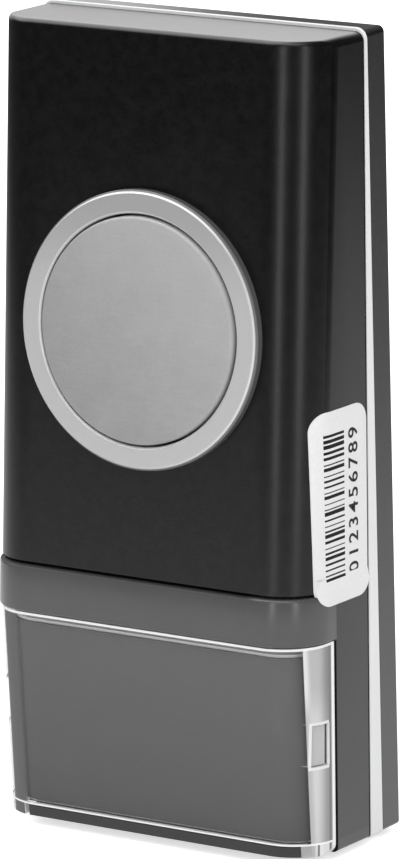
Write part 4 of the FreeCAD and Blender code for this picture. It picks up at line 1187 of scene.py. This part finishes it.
for node, finish in INNER_FINISHES.items():
    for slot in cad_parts[node].material_slots:
        slot.link = "OBJECT"
        slot.material = finish


# Stage: floor, lights, background

FLOOR_HALF = 3.0
FLOOR_DROP = 0.0005
FLOOR_GLOW = 0.6
FLOOR_FADE = (0.08, 0.62)
STRIP_AZIMUTHS = (3.5, 54)
STRIP_PATCH_TURN = (0.03, 0.16)
STRIP_PATCH_AWAY = (0.1, 0.3)
AMBIENT = 0.86
# Azimuth and elevation, spread and strength of the wall behind and of a glint
BACKGROUND_PATCHES = (((213.7, 12.6), (0.6, 0.92), 1.3), ((-88, 52), (0.8, 0.93), 3.5))
AIM = Vector((0, -0.01, 0))


def direction(azimuth, elevation):
    """Unit vector at a compass angle from the front to the right and an angle above the floor."""
    a, e = math.radians(azimuth), math.radians(elevation)
    return Vector((math.sin(a) * math.cos(e), -math.cos(a) * math.cos(e), math.sin(e)))


def lay_floor():
    """White floor for the eye, which fades with distance in the gloss of the object."""
    bm = bmesh.new()
    bmesh.ops.create_grid(bm, x_segments=1, y_segments=1, size=FLOOR_HALF)
    bmesh.ops.translate(bm, vec=(0, 0, cad_box[0].z - FLOOR_DROP), verts=bm.verts)
    floor = new_object("floor", new_mesh("floor", bm))
    finish = Finish("floor_white", base_color=grey(0.8), roughness=0.9, specular_ior_level=0.0,
                    emission_strength=FLOOR_GLOW)
    seen = finish.ray("Camera", "Transmission")
    finish.set(emission_color=finish.mix(seen, grey(0.0), grey(1.0)))
    x, y, z = finish.parts(finish.add("ShaderNodeTexCoord", output="Object"))
    away = (x * x + y * y).root()
    azimuth = x.maths("ARCTAN2", x, 0 - y)
    patches = [1 - abs(azimuth - math.radians(degrees)).rise(*STRIP_PATCH_TURN)
               for degrees in STRIP_AZIMUTHS]
    patches = (patches[0] + patches[1]) * away.rise(*STRIP_PATCH_AWAY)
    in_gloss = finish.mix(away.rise(*FLOOR_FADE), grey(1.15), grey(0.025))
    in_gloss = finish.mix(patches, in_gloss, grey(1.9))
    glow = finish.add("ShaderNodeEmission", None, {"Color": in_gloss})
    finish.blend(finish.ray("Glossy"), glow)
    floor.data.materials.append(finish.material)


def hang_background():
    """White to the eye and through clear plastic, even light, and two bright patches in gloss."""
    world = bpy.data.worlds.new("studio")
    world.use_nodes = True
    bpy.context.scene.world = world
    tree = Nodes(world.node_tree)
    x, y, z = tree.parts(tree.add("ShaderNodeTexCoord", output="Object"))
    gloss = grey(0.02)
    for angles, spread, strength in BACKGROUND_PATCHES:
        way = direction(*angles)
        near = (x * way.x + y * way.y + z * way.z).rise(*spread)
        gloss = tree.mix(near, gloss, grey(strength))
    colour = tree.mix(tree.ray("Glossy"), grey(AMBIENT), gloss)
    colour = tree.mix(tree.ray("Camera", "Transmission"), colour, grey(1.0))
    background = tree.add("ShaderNodeBackground", None, {"Color": colour})
    tree.add("ShaderNodeOutputWorld", None, {"Surface": background})


def area_light(name, azimuth, elevation, distance, width, height, power):
    """Rectangular lamp that faces the middle of the object."""
    away = direction(azimuth, elevation)
    data = bpy.data.lights.new(name, "AREA")
    data.shape = "RECTANGLE"
    data.size, data.size_y, data.energy = width, height, power
    facing = away.to_track_quat("Z", "Y").to_matrix().to_4x4()
    new_object(name, data).matrix_world = Matrix.Translation(AIM + away * distance) @ facing


lay_floor()
hang_background()
# Each lamp's azimuth, elevation, distance, width, height and power
area_light("strip_left", STRIP_AZIMUTHS[0], 16, 0.6, 0.05, 0.5, 0.43)
area_light("strip_right", STRIP_AZIMUTHS[1], 16, 0.6, 0.05, 0.5, 0.46)
area_light("overhead", 20, 70, 0.9, 0.6, 0.6, 2.5)
area_light("back_soft", 208, 30, 0.9, 0.8, 0.35, 1.6)

# Camera: the photograph's view, measured in the leaning front's frame
FOCAL_PIXELS = 6755.262
PIXELS_PER_MM = 9.462
LONG_SIDE_PIXELS = 859
SENSOR_MM = 36.0
VIEW_AZIMUTH = 33.738
VIEW_ELEVATION = 12.567
VIEW_ROLL = math.radians(-0.783)
SHIFT_PIXELS = (6.749, -10.65)

back = direction(VIEW_AZIMUTH, VIEW_ELEVATION)
level = direction(VIEW_AZIMUTH + 90, 0)
upright = back.cross(level)
right = math.cos(VIEW_ROLL) * level + math.sin(VIEW_ROLL) * upright
up = math.cos(VIEW_ROLL) * upright - math.sin(VIEW_ROLL) * level
spot = Vector((0, 0, HEIGHT / 2)) + back * FOCAL_PIXELS / PIXELS_PER_MM
axes = Matrix((right, up, back)).transposed().to_4x4()
view = FRONT_SHIFT @ FRONT_TURN @ Matrix.Translation(spot) @ axes
camera = new_object("camera", bpy.data.cameras.new("camera"))
camera.matrix_world = Matrix.Translation(view.to_translation() * MM) @ view.to_3x3().to_4x4()
camera.data.sensor_width = SENSOR_MM
camera.data.lens = FOCAL_PIXELS * SENSOR_MM / LONG_SIDE_PIXELS
camera.data.shift_x = -SHIFT_PIXELS[0] / LONG_SIDE_PIXELS
camera.data.shift_y = SHIFT_PIXELS[1] / LONG_SIDE_PIXELS
camera.data.clip_start = 0.01
camera.data.clip_end = 20
bpy.context.scene.camera = camera
bpy.context.scene.view_settings.view_transform = "Standard"
